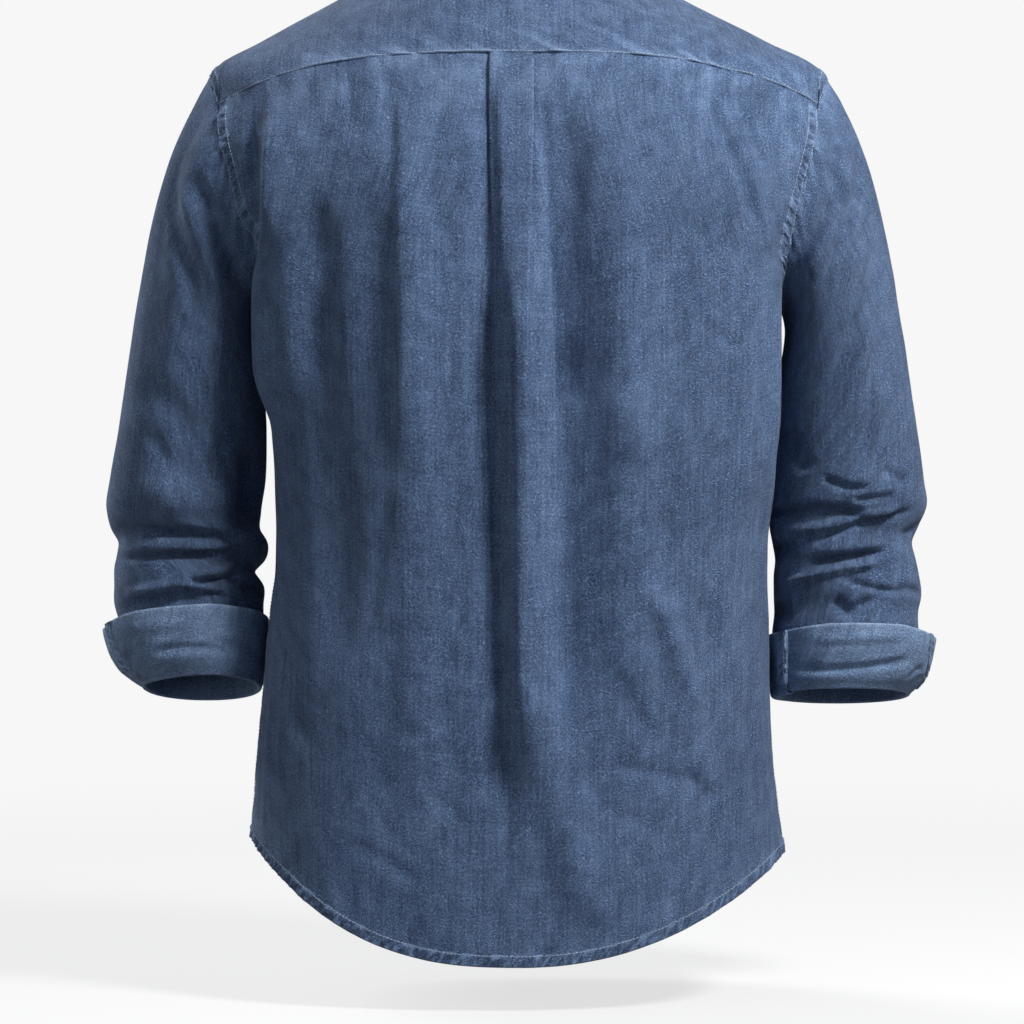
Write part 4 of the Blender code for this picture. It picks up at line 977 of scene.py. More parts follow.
def pucker(surface, edge, kind, share=1.0):
    """Waves beside a sewn edge; share is how much of them each place gets."""
    away = surface.inward(edge)
    along = surface.along(edge)
    wave = noise(along / kind.length, away / (PUCKER_LONG * kind.length), kind.seed)
    wave += FINE_PUCKER * noise(along / kind.length * FINE_PUCKER_SIZE, away / kind.length,
                                kind.seed + FINE_SEED)
    height = kind.height * np.exp(-away / kind.reach) * wave * share
    surface.lift(height)
    # Crests are painted lighter: wear, and a painted highlight.
    surface.wear_and_painted_light += np.clip(height / PUCKER_WEAR_AND_HIGHLIGHT_HEIGHT, 0, PUCKER_WEAR_AND_HIGHLIGHT)


def worn_edge(surface, edge, reach=EDGE_WEAR_REACH, share=1.0):
    surface.wear_and_painted_light += EDGE_WEAR * np.exp(-surface.inward(edge) / reach) * share


# ------------------------------------------------------------------- sewing


BAND_SECTION = (            # share of the width, share of the height
    (0.00, -1.0), (0.01, 0.55), (0.05, 0.95), (0.14, 1.0), (0.26, 1.0), (0.38, 1.0),
    (0.50, 1.0), (0.62, 1.0), (0.74, 1.0), (0.84, 0.95), (0.92, 0.75), (0.97, 0.40), (1.00, -0.6))
GROOVE_WIDTH, GROOVE_DEPTH = 0.0010, 0.00045


def sewn_band(surface, edge, band, first=0, last=None, start=0.0):
    """A doubled layer along an edge, puckered between its lines of stitches."""
    shares = np.array(BAND_SECTION)
    lines = [surface.line(edge, start + share * band.width, first, last)
             for share in shares[:, 0]]
    at, gone = spread(surface, lines[len(lines) // 2], BAND_STEP)
    points, wear_and_painted_light = [], []
    for (share, rise), (row, column) in zip(shares, lines):
        away = share * band.width
        point, out = surface.at(np.interp(at, gone, row), np.interp(at, gone, column))
        slid = (at + band.slant * away) / band.rope_length
        rope = noise(slid, away / band.width * ROPE_WIDE, band.seed)
        rope += FINE_ROPE * noise(slid * FINE_ROPE_SIZE, away / band.width * FINE_ROPE_WIDE,
                                  band.seed + FINE_ROPE_SEED)
        groove = sum(bell((away - row_at) / GROOVE_WIDTH) for row_at in band.rows)
        height = band.height * rise + band.rope * rope * max(rise, 0) - GROOVE_DEPTH * groove
        points.append(point + out * height[..., None])
        edge_wear = BAND_EDGE_WEAR * np.exp(-min(away, band.width - away) / BAND_EDGE_REACH)
        # Rope crests are painted lighter and its hollows darker: wear, and painted highlight and
        # painted shade.
        wear_and_painted_light.append(BAND_WEAR + edge_wear + ROPE_WEAR_AND_PAINTED_LIGHT * np.clip(rope, ROPE_HOLLOW_PAINTED_SHADE, 1))
    points = np.array(points)
    made = Surface(points, points)
    made.wear_and_painted_light = np.array(wear_and_painted_light)
    return made


def stitch_line(surface, edge, distance, lift, first=0, last=None):
    """Middles, directions and ways out of the stitches along a line."""
    row, column = surface.line(edge, distance, first, last)
    at, gone = spread(surface, (row, column), STITCH_PITCH)
    point, out = surface.at(np.interp(at, gone, row), np.interp(at, gone, column))
    run = unit(np.gradient(point, axis=0))
    return (point + out * (lift + STITCH_LIFT))[1:-1], run[1:-1], out[1:-1]


def sewn_rows(surface, edge, band, first=0, last=None, start=0.0):
    """The lines of stitches of a band."""
    return [stitch_line(surface, edge, start + row, band.height, first, last)
            for row in band.rows]


STITCH_SECTION = ((-0.50, 0.45), (0.0, 1.0), (0.50, 0.45))      # along, size


def stitches_object(name, lines, finish):
    """Every stitch of the shirt as a short, swelling grain of thread."""
    middle, run, out = (np.concatenate([line[k] for line in lines]) for k in range(3))
    side = unit(np.cross(out, run))
    rings = []
    for along, size in STITCH_SECTION:
        for quarter in range(4):
            s, c = degrees_sin_cos(90.0 * quarter)
            rings.append(middle + run * along * STITCH_LENGTH
                         + side * c * size * STITCH_WIDTH / 2
                         + out * (s * size * STITCH_HEIGHT / 2 - (1 - size) * STITCH_HEIGHT / 2))
    verts = np.stack(rings, axis=1).reshape(-1, 3)
    count = len(rings)
    faces = []
    for ring in (0, 4):
        for k in range(4):
            faces.append((ring + k, ring + (k + 1) % 4, ring + 4 + (k + 1) % 4, ring + 4 + k))
    faces = (np.array(faces)[None] + count * np.arange(len(middle))[:, None, None]).reshape(-1, 4)
    return mesh_object(name, verts.tolist(), faces.tolist(), finish)


# ------------------------------------------------------------------- meshes


def mesh_object(name, verts, faces, finish, rounded=True):
    """A new object of the scene, with one material."""
    mesh = bpy.data.meshes.new(name)
    mesh.from_pydata(verts, [], faces)
    if rounded:
        mesh.shade_smooth()
    mesh.materials.append(finish)
    made = bpy.data.objects.new(name, mesh)
    bpy.context.scene.collection.objects.link(made)
    return made


def circle(radius, height, sides):
    """Points round a level circle."""
    turns = np.linspace(0, 2 * np.pi, sides, endpoint=False)
    return [(radius * np.cos(t), radius * np.sin(t), height) for t in turns]


def grid_faces(rows, columns):
    corner = (np.arange(rows - 1)[:, None] * columns + np.arange(columns - 1)[None, :]).ravel()
    return np.stack([corner, corner + 1, corner + columns + 1, corner + columns], axis=-1)


def grid_object(name, grids, finish, thickness=0.0):
    """One mesh from some grids of points and wear with painted light, with lengths of cloth as UVs.
    """
    verts, faces, wear_and_painted_light, cloth = [], [], [], []
    start = 0
    for surface in grids:
        points = surface.points
        rows, columns = points.shape[:2]
        faces.append(grid_faces(rows, columns) + start)
        verts.append(points.reshape(-1, 3))
        wear_and_painted_light.append(surface.wear_and_painted_light.ravel())
        across = surface.inward("first", plain=True)
        across = across - across[:, columns // 2][:, None]
        upward = surface.inward("bottom")
        cloth.append(np.stack([across, upward], axis=-1).reshape(-1, 2))
        start += rows * columns
    made = mesh_object(name, np.concatenate(verts).tolist(), np.concatenate(faces).tolist(), finish)
    mesh = made.data
    # The wear attribute holds real wear, plus painted highlights on pucker crests and painted shade
    # in rope hollows.
    layer = mesh.attributes.new("wear_and_painted_light", "FLOAT", "POINT")
    layer.data.foreach_set("value", np.concatenate(wear_and_painted_light).astype(np.float32))
    corners = np.empty(len(mesh.loops), dtype=np.int32)
    mesh.loops.foreach_get("vertex_index", corners)
    mesh.uv_layers.new(name="cloth").data.foreach_set(
        "uv", np.concatenate(cloth)[corners].astype(np.float32).ravel())
    if thickness:
        wall = made.modifiers.new("cloth wall", "SOLIDIFY")
        wall.thickness = thickness
        wall.offset = 0.0
    return made


def sleeve_fold_height(side, point, turn):
    """Folds by turn and height, and creases by place, on a sleeve."""
    height = np.zeros(point.shape[:-1])
    for fold in SLEEVE_FOLDS[side]:
        span = np.radians(fold.turn_2 - fold.turn_1) * ARM_RADIUS
        drop = fold.z_2 - fold.z_1
        length = np.hypot(span, drop)
        across = np.radians(turn_between(turn, (fold.turn_1 + fold.turn_2) / 2)) * ARM_RADIUS
        upward = point[..., 2] - (fold.z_1 + fold.z_2) / 2
        along = (across * span + upward * drop) / length
        away = (across * drop - upward * span) / length
        ends = bell(along / (length / 2 + fold.half_width))
        height += fold.height * bell(away / fold.half_width) * ends
    s = degrees_sin_cos(turn)[0]
    x, z = point[..., 0], point[..., 2]
    height += smooth(s / BEHIND_BLEND) * crease_height(SLEEVE_CREASES[side], x, z)
    height += smooth(-s / BEHIND_BLEND) * crease_height(SLEEVE_FRONT_CREASES, side * x, z)
    return height + SLEEVE_DRAPE * cloth_height(point, SLEEVE_SEED + side)


def sleeve_surface(side):
    turn = np.linspace(0, 360, SLEEVE_COLUMNS + 1)[None, :]
    run = np.concatenate([steps(0, 1, CAP_ROWS), np.linspace(1, 2, TUBE_ROWS + 1)])[:, None]
    turn, run = np.broadcast_arrays(turn, run)
    base = sleeve_base(side, turn, run)
    out = sleeve_normal(side, turn, run)
    start = smooth(run / SLEEVE_START)
    height = sleeve_fold_height(side, base, turn) * start
    return Surface(base + out * height[..., None], out, base)


def sleeve(side, turn, run, lift=0.0):
    turn, run = matched(turn, run)
    base = sleeve_base(side, turn, run)
    height = sleeve_fold_height(side, base, turn) + lift
    return base + sleeve_normal(side, turn, run) * height[..., None]


def cuff_surface(side):
    """The cuff's section, run round the arm with its end lapped over."""
    rings = CUFF_RINGS[side]
    height = column(rings, "height")
    fold = np.radians(np.linspace(180, 360, CUFF_FOLD_ROWS))
    leg = np.linspace(CUFF_LEG_START, height[-1], CUFF_ROWS)
    # Each row of the section: its height, and its distance in from the rings.
    h = np.concatenate([CUFF_FOLD_RADIUS * np.sin(fold), leg])[:, None]
    inward = np.concatenate([CUFF_FOLD_RADIUS * (1 - np.cos(fold)), 0 * leg])[:, None]
    turns = np.linspace(0, 360 + CUFF_OVERLAP, CUFF_COLUMNS)[None, :]
    around = CUFF_START[side] - turns
    s, c = degrees_sin_cos(around)
    out = roundness(s, c, SLEEVE_SQUARE)
    drop = np.interp(turn_between(around, 0.0), CUFF_DROP_TURNS, CUFF_DROPS[side]) * MM
    h = h * np.where(h > 0, 1 - drop / height[-1], 1)
    at = np.clip(h, 0, None)
    inner, outer, depth = (curve(height, column(rings, name), at)
                           for name in ("inner", "outer", "half_depth"))
    x = (inner + outer) / 2 + ((outer - inner) / 2 - inward) * c * out
    y = CUFF_MIDDLE + (depth - inward) * s * out
    z = CUFF_LOWEST_Z[side] + h + CUFF_RISE[side] * s * out
    outside = np.stack([side * x, y, z], axis=-1)
    inside = sleeve(side, around, np.array(CUFF_INNER_RUN), -CUFF_INNER_GAP)
    points = np.concatenate([inside, outside])
    across, along = np.gradient(points, axis=1), np.gradient(points, axis=0)
    normal = unit(np.cross(along, across)) * side
    grown = CUFF_LAP_OUT * smooth((turns - 360 + CUFF_LAP_RUN) / CUFF_LAP_RUN)
    surface = Surface(points + normal * grown[..., None], normal)
    high = np.concatenate([[0.0], np.clip(h[:, 0], 0, None)])[:, None]
    share = smooth(high / CUFF_CREASE_START) * np.ones_like(around)
    place = surface.points
    creases = crease_height(CUFF_CREASES[side], place[..., 0], place[..., 2])
    surface.lift(share * (creases * smooth(s / BEHIND_BLEND)
                          + CUFF_DRAPE * cloth_height(place, CUFF_SEED + side)))
    return surface


# ------------------------------------------------------- collar and fastening


def risen(edge, distance):
    """An edge moved up by a distance, at right angles to its own run."""
    run = unit(np.gradient(edge, axis=0))
    up = np.array([0.0, 0.0, 1.0]) - run * run[:, 2:]
    return edge + unit(up) * distance


def stand_height(angle):
    front = smooth((np.abs(angle) - STAND_FALL_START) / STAND_FALL_TURN)
    return STAND_HEIGHT + (STAND_FRONT_HEIGHT - STAND_HEIGHT) * front


def stand_points(rows=2):
    """The neck band: one turn and a lap, its left end over its right."""
    lap = np.degrees(PLACKET_WIDTH / 2 / ring_radius(1.0))
    leaf = np.linspace(-LEAF_END_ANGLE, LEAF_END_ANGLE, COLLAR_COLUMNS + 1)
    ends = steps(180 + lap, LEAF_END_ANGLE, STAND_END_STEPS)
    angle = np.concatenate([-ends, leaf, ends[::-1]])
    up = np.linspace(0, 1, rows + 1)[:, None]
    foot = risen(body_base(angle, 1.0), STAND_SEAM)
    outward = unit(foot * (1, 1, 0))
    spiral = UNDER_LAP / 2 * np.clip(angle / STAND_SPIRAL_TURN, -1, 1)
    point = foot + outward * (spiral - STAND_LEAN * up)[..., None]
    point[..., 2] += up * stand_height(angle)
    return point


def leaf_points(rows=6):
    """The folded collar, from the top of the stand down to its edge."""
    angle = np.linspace(-LEAF_END_ANGLE, LEAF_END_ANGLE, COLLAR_COLUMNS + 1)
    top = risen(stand_points()[-1, STAND_END_STEPS:-STAND_END_STEPS], LEAF_SEAM)
    outward = unit(top * (1, 1, 0))
    reach = np.clip((np.abs(angle) - LEAF_FALL_START) / (LEAF_END_ANGLE - LEAF_FALL_START), 0, 1)
    reach = reach ** LEAF_FALL_CURVE
    edge_level = LEAF_BACK_LEVEL + (LEAF_POINT_LEVEL - LEAF_BACK_LEVEL) * reach
    edge = body(angle, edge_level, np.full_like(angle, LEAF_LIFT))
    roll = top + outward * LEAF_ROLL * LEAF_ROLL_OUT
    roll[:, 2] += LEAF_ROLL
    u = np.linspace(0, 1, rows + 1)[:, None, None] ** LEAF_ROW_CURVE
    return (1 - u) ** 2 * top[None] + 2 * u * (1 - u) * roll[None] + u * u * edge[None]


# -------------------------------------------------------------------- pieces


def body_surface(angle, level, depth=0.0):
    return Surface(body(angle, level, -depth), body_normal(angle, level),
                   body_base(angle, level))


def make_back():
    angle, level, depth = back_panel_places()
    share = np.linspace(0, 1, level.shape[0])[:, None]
    tucked = smooth((share - 1 + TUCK_SHARE) / TUCK_SHARE)
    seam = smooth((share - 1 + 0.5 * TUCK_SHARE) / (0.5 * TUCK_SHARE))
    across = np.arange(level.shape[1])[None, :]
    inside = smooth((np.minimum(across, across[0, -1] - across) + 1) / TUCK_STEPS)
    below_seam = (1 - share) * BACK_LENGTH
    beside = smooth((np.abs(across - across[0, -1] / 2) - PLEAT_EDGE_COLUMN) / PLEAT_STEPS)
    drawn_up = beside * (1 - PLEAT_TOP_SUNK) * (1 - smooth(below_seam / PLEAT_TOP_REACH))
    surface = body_surface(angle, level + TUCK_LEVEL * seam * inside,
                           depth * (1 - drawn_up) + TUCK_DEPTH * tucked * inside)
    hole = smooth((np.arange(level.shape[0]) - SIDE_SEAM_STEPS) / HOLE_STEPS)[:, None]
    loose = smooth(below_seam / GATHER_START)
    pucker(surface, "top", GATHER, loose)
    pucker(surface, "top", GATHER_FINE, loose)
    pucker(surface, "bottom", HEM_PUCKER)
    for edge in ("first", "last"):
        pucker(surface, edge, ARMHOLE_PUCKER, hole)
        pucker(surface, edge, SEAM_PUCKER, 1 - hole)
    worn_edge(surface, "bottom")
    bands, lines = [sewn_band(surface, "bottom", HEM_BAND)], sewn_rows(surface, "bottom", HEM_BAND)
    for edge in ("first", "last"):
        for band, first, last in ((ARMHOLE_BAND, SIDE_SEAM_STEPS, -YOKE_CLEAR),
                                  (SIDE_BAND, 0, SIDE_SEAM_STEPS)):
            bands.append(sewn_band(surface, edge, band, first, last))
            lines += sewn_rows(surface, edge, band, first, last)
    return surface, bands, lines


def make_yoke():
    places = yoke_places()
    surface = body_surface(places[..., 0], places[..., 1])
    stations = places.shape[1]
    first, last = ARMHOLE_TOP_STEPS, stations - ARMHOLE_TOP_STEPS
    seam = np.zeros(stations)
    seam[first:last] = 1
    away = surface.inward("bottom")
    surface.lift(YOKE_LIFT * (1 - smooth(away / YOKE_LIFT_REACH)) * seam)
    pucker(surface, "bottom", YOKE_PUCKER)
    worn_edge(surface, "bottom")
    bands, lines = [], [stitch_line(surface, "bottom", YOKE_STITCH, SHELL / 2, first, last)]
    for part in ((0, first + 1), (last - 1, None)):
        bands.append(sewn_band(surface, "bottom", ARMHOLE_BAND, *part))
        lines += sewn_rows(surface, "bottom", ARMHOLE_BAND, *part)
    for edge in ("first", "last"):
        pucker(surface, edge, YOKE_PUCKER)
        lines.append(stitch_line(surface, edge, YOKE_STITCH, SHELL / 2))
    return surface, bands, lines


def make_front(side):
    places = front_panel_places(side)
    angle, level = places[..., 0], places[..., 1]
    depth = 0.0
    if side == RIGHT:
        out = np.radians(180.0 - np.abs(angle)) * ring_radius(level)
        depth = UNDER_LAP * (1 - smooth((out - UNDER_LAP_FLAT) / UNDER_LAP_BLEND))
    surface = body_surface(angle, level, depth)
    row = np.arange(level.shape[0])[:, None]
    top = SIDE_SEAM_STEPS + ARMHOLE_FRONT_STEPS
    hole = smooth((row - SIDE_SEAM_STEPS) / HOLE_STEPS) * smooth((top - row) / HOLE_STEPS)
    pucker(surface, "bottom", HEM_PUCKER)
    pucker(surface, "last", ARMHOLE_PUCKER, hole)
    pucker(surface, "last", SEAM_PUCKER, 1 - hole)
    pucker(surface, "last", YOKE_PUCKER, smooth((row - top) / YOKE_STEPS))
    worn_edge(surface, "bottom")
    bands = [sewn_band(surface, "bottom", HEM_BAND),
             sewn_band(surface, "last", ARMHOLE_BAND, SIDE_SEAM_STEPS, top)]
    lines = (sewn_rows(surface, "bottom", HEM_BAND)
             + sewn_rows(surface, "last", ARMHOLE_BAND, SIDE_SEAM_STEPS, top))
    return surface, bands, lines


def make_placket():
    level = front_panel_places(LEFT)[:, 0, 1][:, None]
    level = np.clip(level, level[0] + PLACKET_END_LEVEL, level[-1] - PLACKET_END_LEVEL)
    half = np.degrees((PLACKET_WIDTH / 2 - GAP) / ring_radius(level))
    angle = 180 + half * np.linspace(1, -1, PLACKET_COLUMNS + 1)[None, :]
    surface = body_surface(angle, np.broadcast_to(level, angle.shape), -PLACKET_LIFT)
    for edge in ("first", "last"):
        pucker(surface, edge, YOKE_PUCKER)
        worn_edge(surface, edge)
    lines = [stitch_line(surface, edge, PLACKET_STITCH, SHELL / 2) for edge in ("first", "last")]
    return surface, [], lines


def make_stand():
    points = stand_points(STAND_ROWS)
    across, up = np.gradient(points, axis=1), np.gradient(points, axis=0)
    surface = Surface(points, unit(np.cross(up, across)))
    surface.lift(STAND_DRAPE * cloth_height(points, STAND_SEED))
    worn_edge(surface, "top")
    lines = [stitch_line(surface, "bottom", COLLAR_STITCH, SHELL / 2)]
    return surface, [], lines


def make_leaf():
    points = leaf_points(LEAF_ROWS)
    across, down = np.gradient(points, axis=1), np.gradient(points, axis=0)
    surface = Surface(points, unit(np.cross(across, down)))
    loose = np.linspace(0, 1, len(points))[:, None]
    surface.lift(LEAF_DRAPE * cloth_height(points, LEAF_SEED) * loose)
    worn_edge(surface, "top")
    for edge in ("first", "last"):
        worn_edge(surface, edge)
    lines = [stitch_line(surface, edge, COLLAR_STITCH, SHELL / 2)
             for edge in ("top", "first", "last")]
    return surface, [], lines


def make_sleeve(side):
    surface = sleeve_surface(side)
    pucker(surface, "bottom", ARMHOLE_PUCKER)
    worn_edge(surface, "bottom", SLEEVE_WEAR_REACH, SLEEVE_WEAR)
    return surface, [], []


def make_cuff(side):
    surface = cuff_surface(side)
    edge = surface.inward("top")
    pucker(surface, "top", CUFF_PUCKER, smooth((CUFF_LEG - edge) / CUFF_PUCKER_FADE))
    worn_edge(surface, "top")
    from_fold = np.arange(surface.points.shape[0]) - CUFF_FOLD_ROWS // 2
    surface.wear_and_painted_light += CUFF_FOLD_WEAR * np.exp(-(from_fold / CUFF_FOLD_WEAR_ROWS) ** 2)[:, None]
    bands, lines = [], []
    for end, start in CUFF_BANDS[side]:
        bands.append(sewn_band(surface, end, CUFF_BAND, CUFF_BAND_ROW, None, start))
        lines += sewn_rows(surface, end, CUFF_BAND, CUFF_BAND_ROW, None, start)
    return surface, bands, lines


# ----------------------------------------------------------------- materials


def node(tree, kind, inputs=(), **settings):
    """A shader node; inputs are names or numbers with a value or a socket."""
    made = tree.nodes.new(kind)
    for name, value in settings.items():
        setattr(made, name, value)
    for name, value in dict(inputs).items():
        if isinstance(value, bpy.types.NodeSocket):
            tree.links.new(value, made.inputs[name])
        else:
            made.inputs[name].default_value = value
    return made


def maths(tree, operation, a, b=0.0, c=0.0):
    return node(tree, "ShaderNodeMath", {0: a, 1: b, 2: c}, operation=operation).outputs[0]


def new_material(name):
    made = bpy.data.materials.new(name)
    made.use_nodes = True
    return made, made.node_tree


def strands(tree, cloth, kind):
    """Noise drawn out into strands: 0 to 1."""
    turned = node(tree, "ShaderNodeVectorRotate", {
        "Vector": cloth, "Angle": float(np.radians(kind.turn))}, rotation_type="Z_AXIS")
    scaled = node(tree, "ShaderNodeVectorMath", {
        0: turned.outputs[0], 1: (1 / kind.length, 1 / kind.width, 1.0)}, operation="MULTIPLY")
    made = node(tree, "ShaderNodeTexNoise", {
        "Vector": scaled.outputs[0], "Scale": 1.0, "Detail": kind.detail,
        "Distortion": kind.distortion}, noise_dimensions="2D")
    return made.outputs[0]


def sharpened(tree, value, edges):
    return node(tree, "ShaderNodeMapRange", {
        "Value": value, "From Min": edges[0], "From Max": edges[1]}).outputs[0]


# Noises of the weave: how far their strands turn, in degrees, how long and wide
# they are, and the noise's detail and distortion.
Strands = namedtuple("Strands", "turn length width detail distortion")
FIBRES = Strands(42, 0.0034, 0.00062, 1.0, 0.3), Strands(-38, 0.0030, 0.00060, 1.0, 0.3)
FIBRE_CHOICE = Strands(0, 0.011, 0.011, 1.0, 0.0)       # which of the two shows
GRAIN = Strands(0, 0.0011, 0.0010, 1.0, 0.0)
TONES = (                       # each with its share of the tone
    (GRAIN, 0.78),
    (Strands(0, 0.0022, 0.060, 1.0, 0.0), 0.24),        # slubs up the cloth
    (Strands(0, 0.045, 0.0020, 1.0, 0.0), 0.12),        # slubs across it
    (Strands(0, 0.013, 0.017, 2.0, 0.0), 0.28),         # mottles
    (Strands(0, 0.085, 0.120, 1.0, 0.0), 0.18),         # clouds
)
FIBRE_EDGES, CHOICE_EDGES = (0.49, 0.75), (0.44, 0.56)
# What the fibres and the wear, with its painted highlights and shade, add to the tone, and what is
# added all over.
FIBRE_TONE, WEAR_AND_PAINTED_LIGHT_TONE, BASE_TONE, MIDDLE_TONE = 0.42, 0.55, -0.10, 0.50
DARK_TONE, PALE_TONE = 0.18, 0.95       # the tones of the first and last shade
FIBRE_BUMP, GRAIN_BUMP, BUMP_DEPTH = 0.9, 0.6, 0.00072
CLOTH_SURFACE = {
    "Roughness": 0.88, "Specular IOR Level": 0.18, "Sheen Weight": 0.12, "Sheen Roughness": 0.45}


def chambray(name, shades):
    """Washed chambray: short diagonal fibres, slubs, mottles and worn edges."""
    made, tree = new_material(name)
    shader = tree.nodes["Principled BSDF"]
    cloth = node(tree, "ShaderNodeUVMap", uv_map="cloth").outputs[0]
    # The wear attribute lightens or darkens the cloth: worn edges, plus painted highlights on
    # pucker crests and painted shade in rope hollows.
    worn_and_painted_light = node(tree, "ShaderNodeAttribute", attribute_name="wear_and_painted_light").outputs["Fac"]

    first, second = (sharpened(tree, strands(tree, cloth, kind), FIBRE_EDGES) for kind in FIBRES)
    choice = sharpened(tree, strands(tree, cloth, FIBRE_CHOICE), CHOICE_EDGES)
    fibres = node(tree, "ShaderNodeMix", {0: choice, 2: first, 3: second}).outputs[0]
    tone = maths(tree, "MULTIPLY_ADD", fibres, FIBRE_TONE, BASE_TONE)
    noises = [strands(tree, cloth, kind) for kind, _ in TONES]
    for value, (_, share) in zip(noises, TONES):
        part = maths(tree, "MULTIPLY_ADD", value, share, -0.5 * share)
        tone = maths(tree, "ADD", tone, part)
    rubbed_and_painted_light = maths(tree, "MULTIPLY", worn_and_painted_light, WEAR_AND_PAINTED_LIGHT_TONE)
    tone = maths(tree, "ADD", maths(tree, "ADD", tone, rubbed_and_painted_light), MIDDLE_TONE)
    ramp = node(tree, "ShaderNodeValToRGB", {0: tone})
    ramp.color_ramp.elements[0].position = DARK_TONE
    ramp.color_ramp.elements[1].position = PALE_TONE
    ramp.color_ramp.elements.new(MIDDLE_TONE)
    for element, shade in zip(ramp.color_ramp.elements, shades):
        element.color = (*shade, 1)
    grain = maths(tree, "MULTIPLY", noises[0], GRAIN_BUMP)
    height = maths(tree, "MULTIPLY_ADD", fibres, FIBRE_BUMP, grain)
    bump = node(tree, "ShaderNodeBump", {
        "Height": height, "Strength": 1.0, "Distance": BUMP_DEPTH})
    tree.links.new(ramp.outputs[0], shader.inputs["Base Color"])
    tree.links.new(bump.outputs[0], shader.inputs["Normal"])
    for socket, value in CLOTH_SURFACE.items():
        shader.inputs[socket].default_value = value
    return made


# Thread and plastic: the noise that makes their colour uneven, the least and the
# most that it leaves of the colour, and the roughness.
Finish = namedtuple("Finish", "scale detail distortion least most roughness")
THREAD = Finish(900.0, 2.0, 0.0, 0.75, 1.15, 0.7)
PLASTIC = Finish(260.0, 3.0, 1.6, 0.80, 1.10, 0.28)


def tinted(name, colour, kind):
    """A material of one colour, a little uneven."""
    made, tree = new_material(name)
    shader = tree.nodes["Principled BSDF"]
    place = node(tree, "ShaderNodeTexCoord").outputs["Object"]
    swirl = node(tree, "ShaderNodeTexNoise", {
        "Vector": place, "Scale": kind.scale, "Detail": kind.detail,
        "Distortion": kind.distortion}).outputs[0]
    shade = node(tree, "ShaderNodeMapRange", {
        "Value": swirl, "To Min": kind.least, "To Max": kind.most}).outputs[0]
    uneven = node(tree, "ShaderNodeVectorMath", {0: colour, 1: shade}, operation="MULTIPLY")
    tree.links.new(uneven.outputs[0], shader.inputs["Base Color"])
    shader.inputs["Roughness"].default_value = kind.roughness
    return made


# --------------------------------------------------------------------- parts


def turned_button(name, cad, finish, thread_finish, hole_shade_finish):
    """A four-hole button where its solid is, with thin dark discs of painted shade for its holes
    and two bars of thread.
    """
    corners = np.array([v.co for v in cad.data.vertices])
    middle = (corners.max(axis=0) + corners.min(axis=0)) / 2
    facing = np.linalg.svd(corners - corners.mean(axis=0))[2][2]
    facing = facing if facing[1] < 0 else -facing
    verts, faces = [], []
    for out, up in BUTTON_PROFILE:
        verts += circle(out * BUTTON_RADIUS, (up - 0.5) * BUTTON_THICKNESS, BUTTON_SIDES)
    for ring in range(len(BUTTON_PROFILE) - 1):
        for k in range(BUTTON_SIDES):
            low, high = ring * BUTTON_SIDES, (ring + 1) * BUTTON_SIDES
            far = (k + 1) % BUTTON_SIDES
            faces.append((low + k, low + far, high + far, high + k))
    made = mesh_object(name, verts, faces, finish)
    top = (BUTTON_DISH - 0.5) * BUTTON_THICKNESS
    extras = []
    # Each hole is a thin near-black disc on the dish: painted shade, not an opening.
    for sx in (-1, 1):
        for sy in (-1, 1):
            spot = (sx * BUTTON_HOLE_OUT, sy * BUTTON_HOLE_OUT, top)
            extras.append(small_drum(f"{name}_hole", spot, BUTTON_HOLE_RADIUS,
                                     BUTTON_HOLE_HEIGHT, hole_shade_finish))
    for sx in (-1, 1):
        spot = (sx * BUTTON_HOLE_OUT, 0.0, top + BUTTON_THREAD_LIFT)
        bar = small_drum(f"{name}_thread", spot, BUTTON_THREAD_RADIUS, BUTTON_THREAD_LENGTH,
                         thread_finish)
        bar.rotation_euler = (np.radians(90), 0, 0)
        extras.append(bar)
    bpy.ops.object.select_all(action="DESELECT")
    for extra in extras + [made]:
        extra.select_set(True)
    bpy.context.view_layer.objects.active = made
    bpy.ops.object.join()
    turn = Vector((0, 0, 1)).rotation_difference(Vector(facing)).to_matrix().to_4x4()
    turn.translation = Vector(middle)
    made.data.transform(turn)
    return made


def small_drum(name, spot, radius, height, finish):
    verts = circle(radius, -height / 2, DRUM_SIDES) + circle(radius, height / 2, DRUM_SIDES)
    faces = [(k, (k + 1) % DRUM_SIDES, DRUM_SIDES + (k + 1) % DRUM_SIDES, DRUM_SIDES + k)
             for k in range(DRUM_SIDES)]
    faces += [tuple(range(DRUM_SIDES))[::-1], tuple(range(DRUM_SIDES, 2 * DRUM_SIDES))]
    made = mesh_object(name, verts, faces, finish, rounded=False)
    made.location = spot
    return made


# --------------------------------------------------------------------- studio

CAMERA_PLACE = (0.0046, 3.0, -0.4304)
CAMERA_LENS, CAMERA_SENSOR = 136.97, 36.0
FLOOR_Z, FLOOR_RADIUS, FLOOR_SIDES = -0.800, 9.0, 96
FLOOR_NEAR, FLOOR_FAR = 0.9, 2.6        # where the floor fades into the background
FLOOR_COLOUR, FLOOR_GLOW = (0.24, 0.24, 0.24), 0.72
BACKGROUND = (0.93, 0.93, 0.93)
AMBIENT = (0.58, 0.66, 0.80)
AMBIENT_STRENGTH = 0.13
KEY_PLACE, KEY_POWER, KEY_SIZE = (-1.05, 1.00, 0.95), 38.0, 0.50
KEY_TARGET = (0.0, 0.0, -0.35)
# Suns: the direction they shine from, their strength and softness.
Sun = namedtuple("Sun", "name towards strength soft")
SUNS = (
    Sun("side", (-0.80, 0.35, -0.05), 0.85, 30.0),
    Sun("fill", (0.60, 0.75, 0.30), 0.52, 60.0),
    Sun("front", (0.62, -0.58, 0.58), 2.10, 30.0),
)


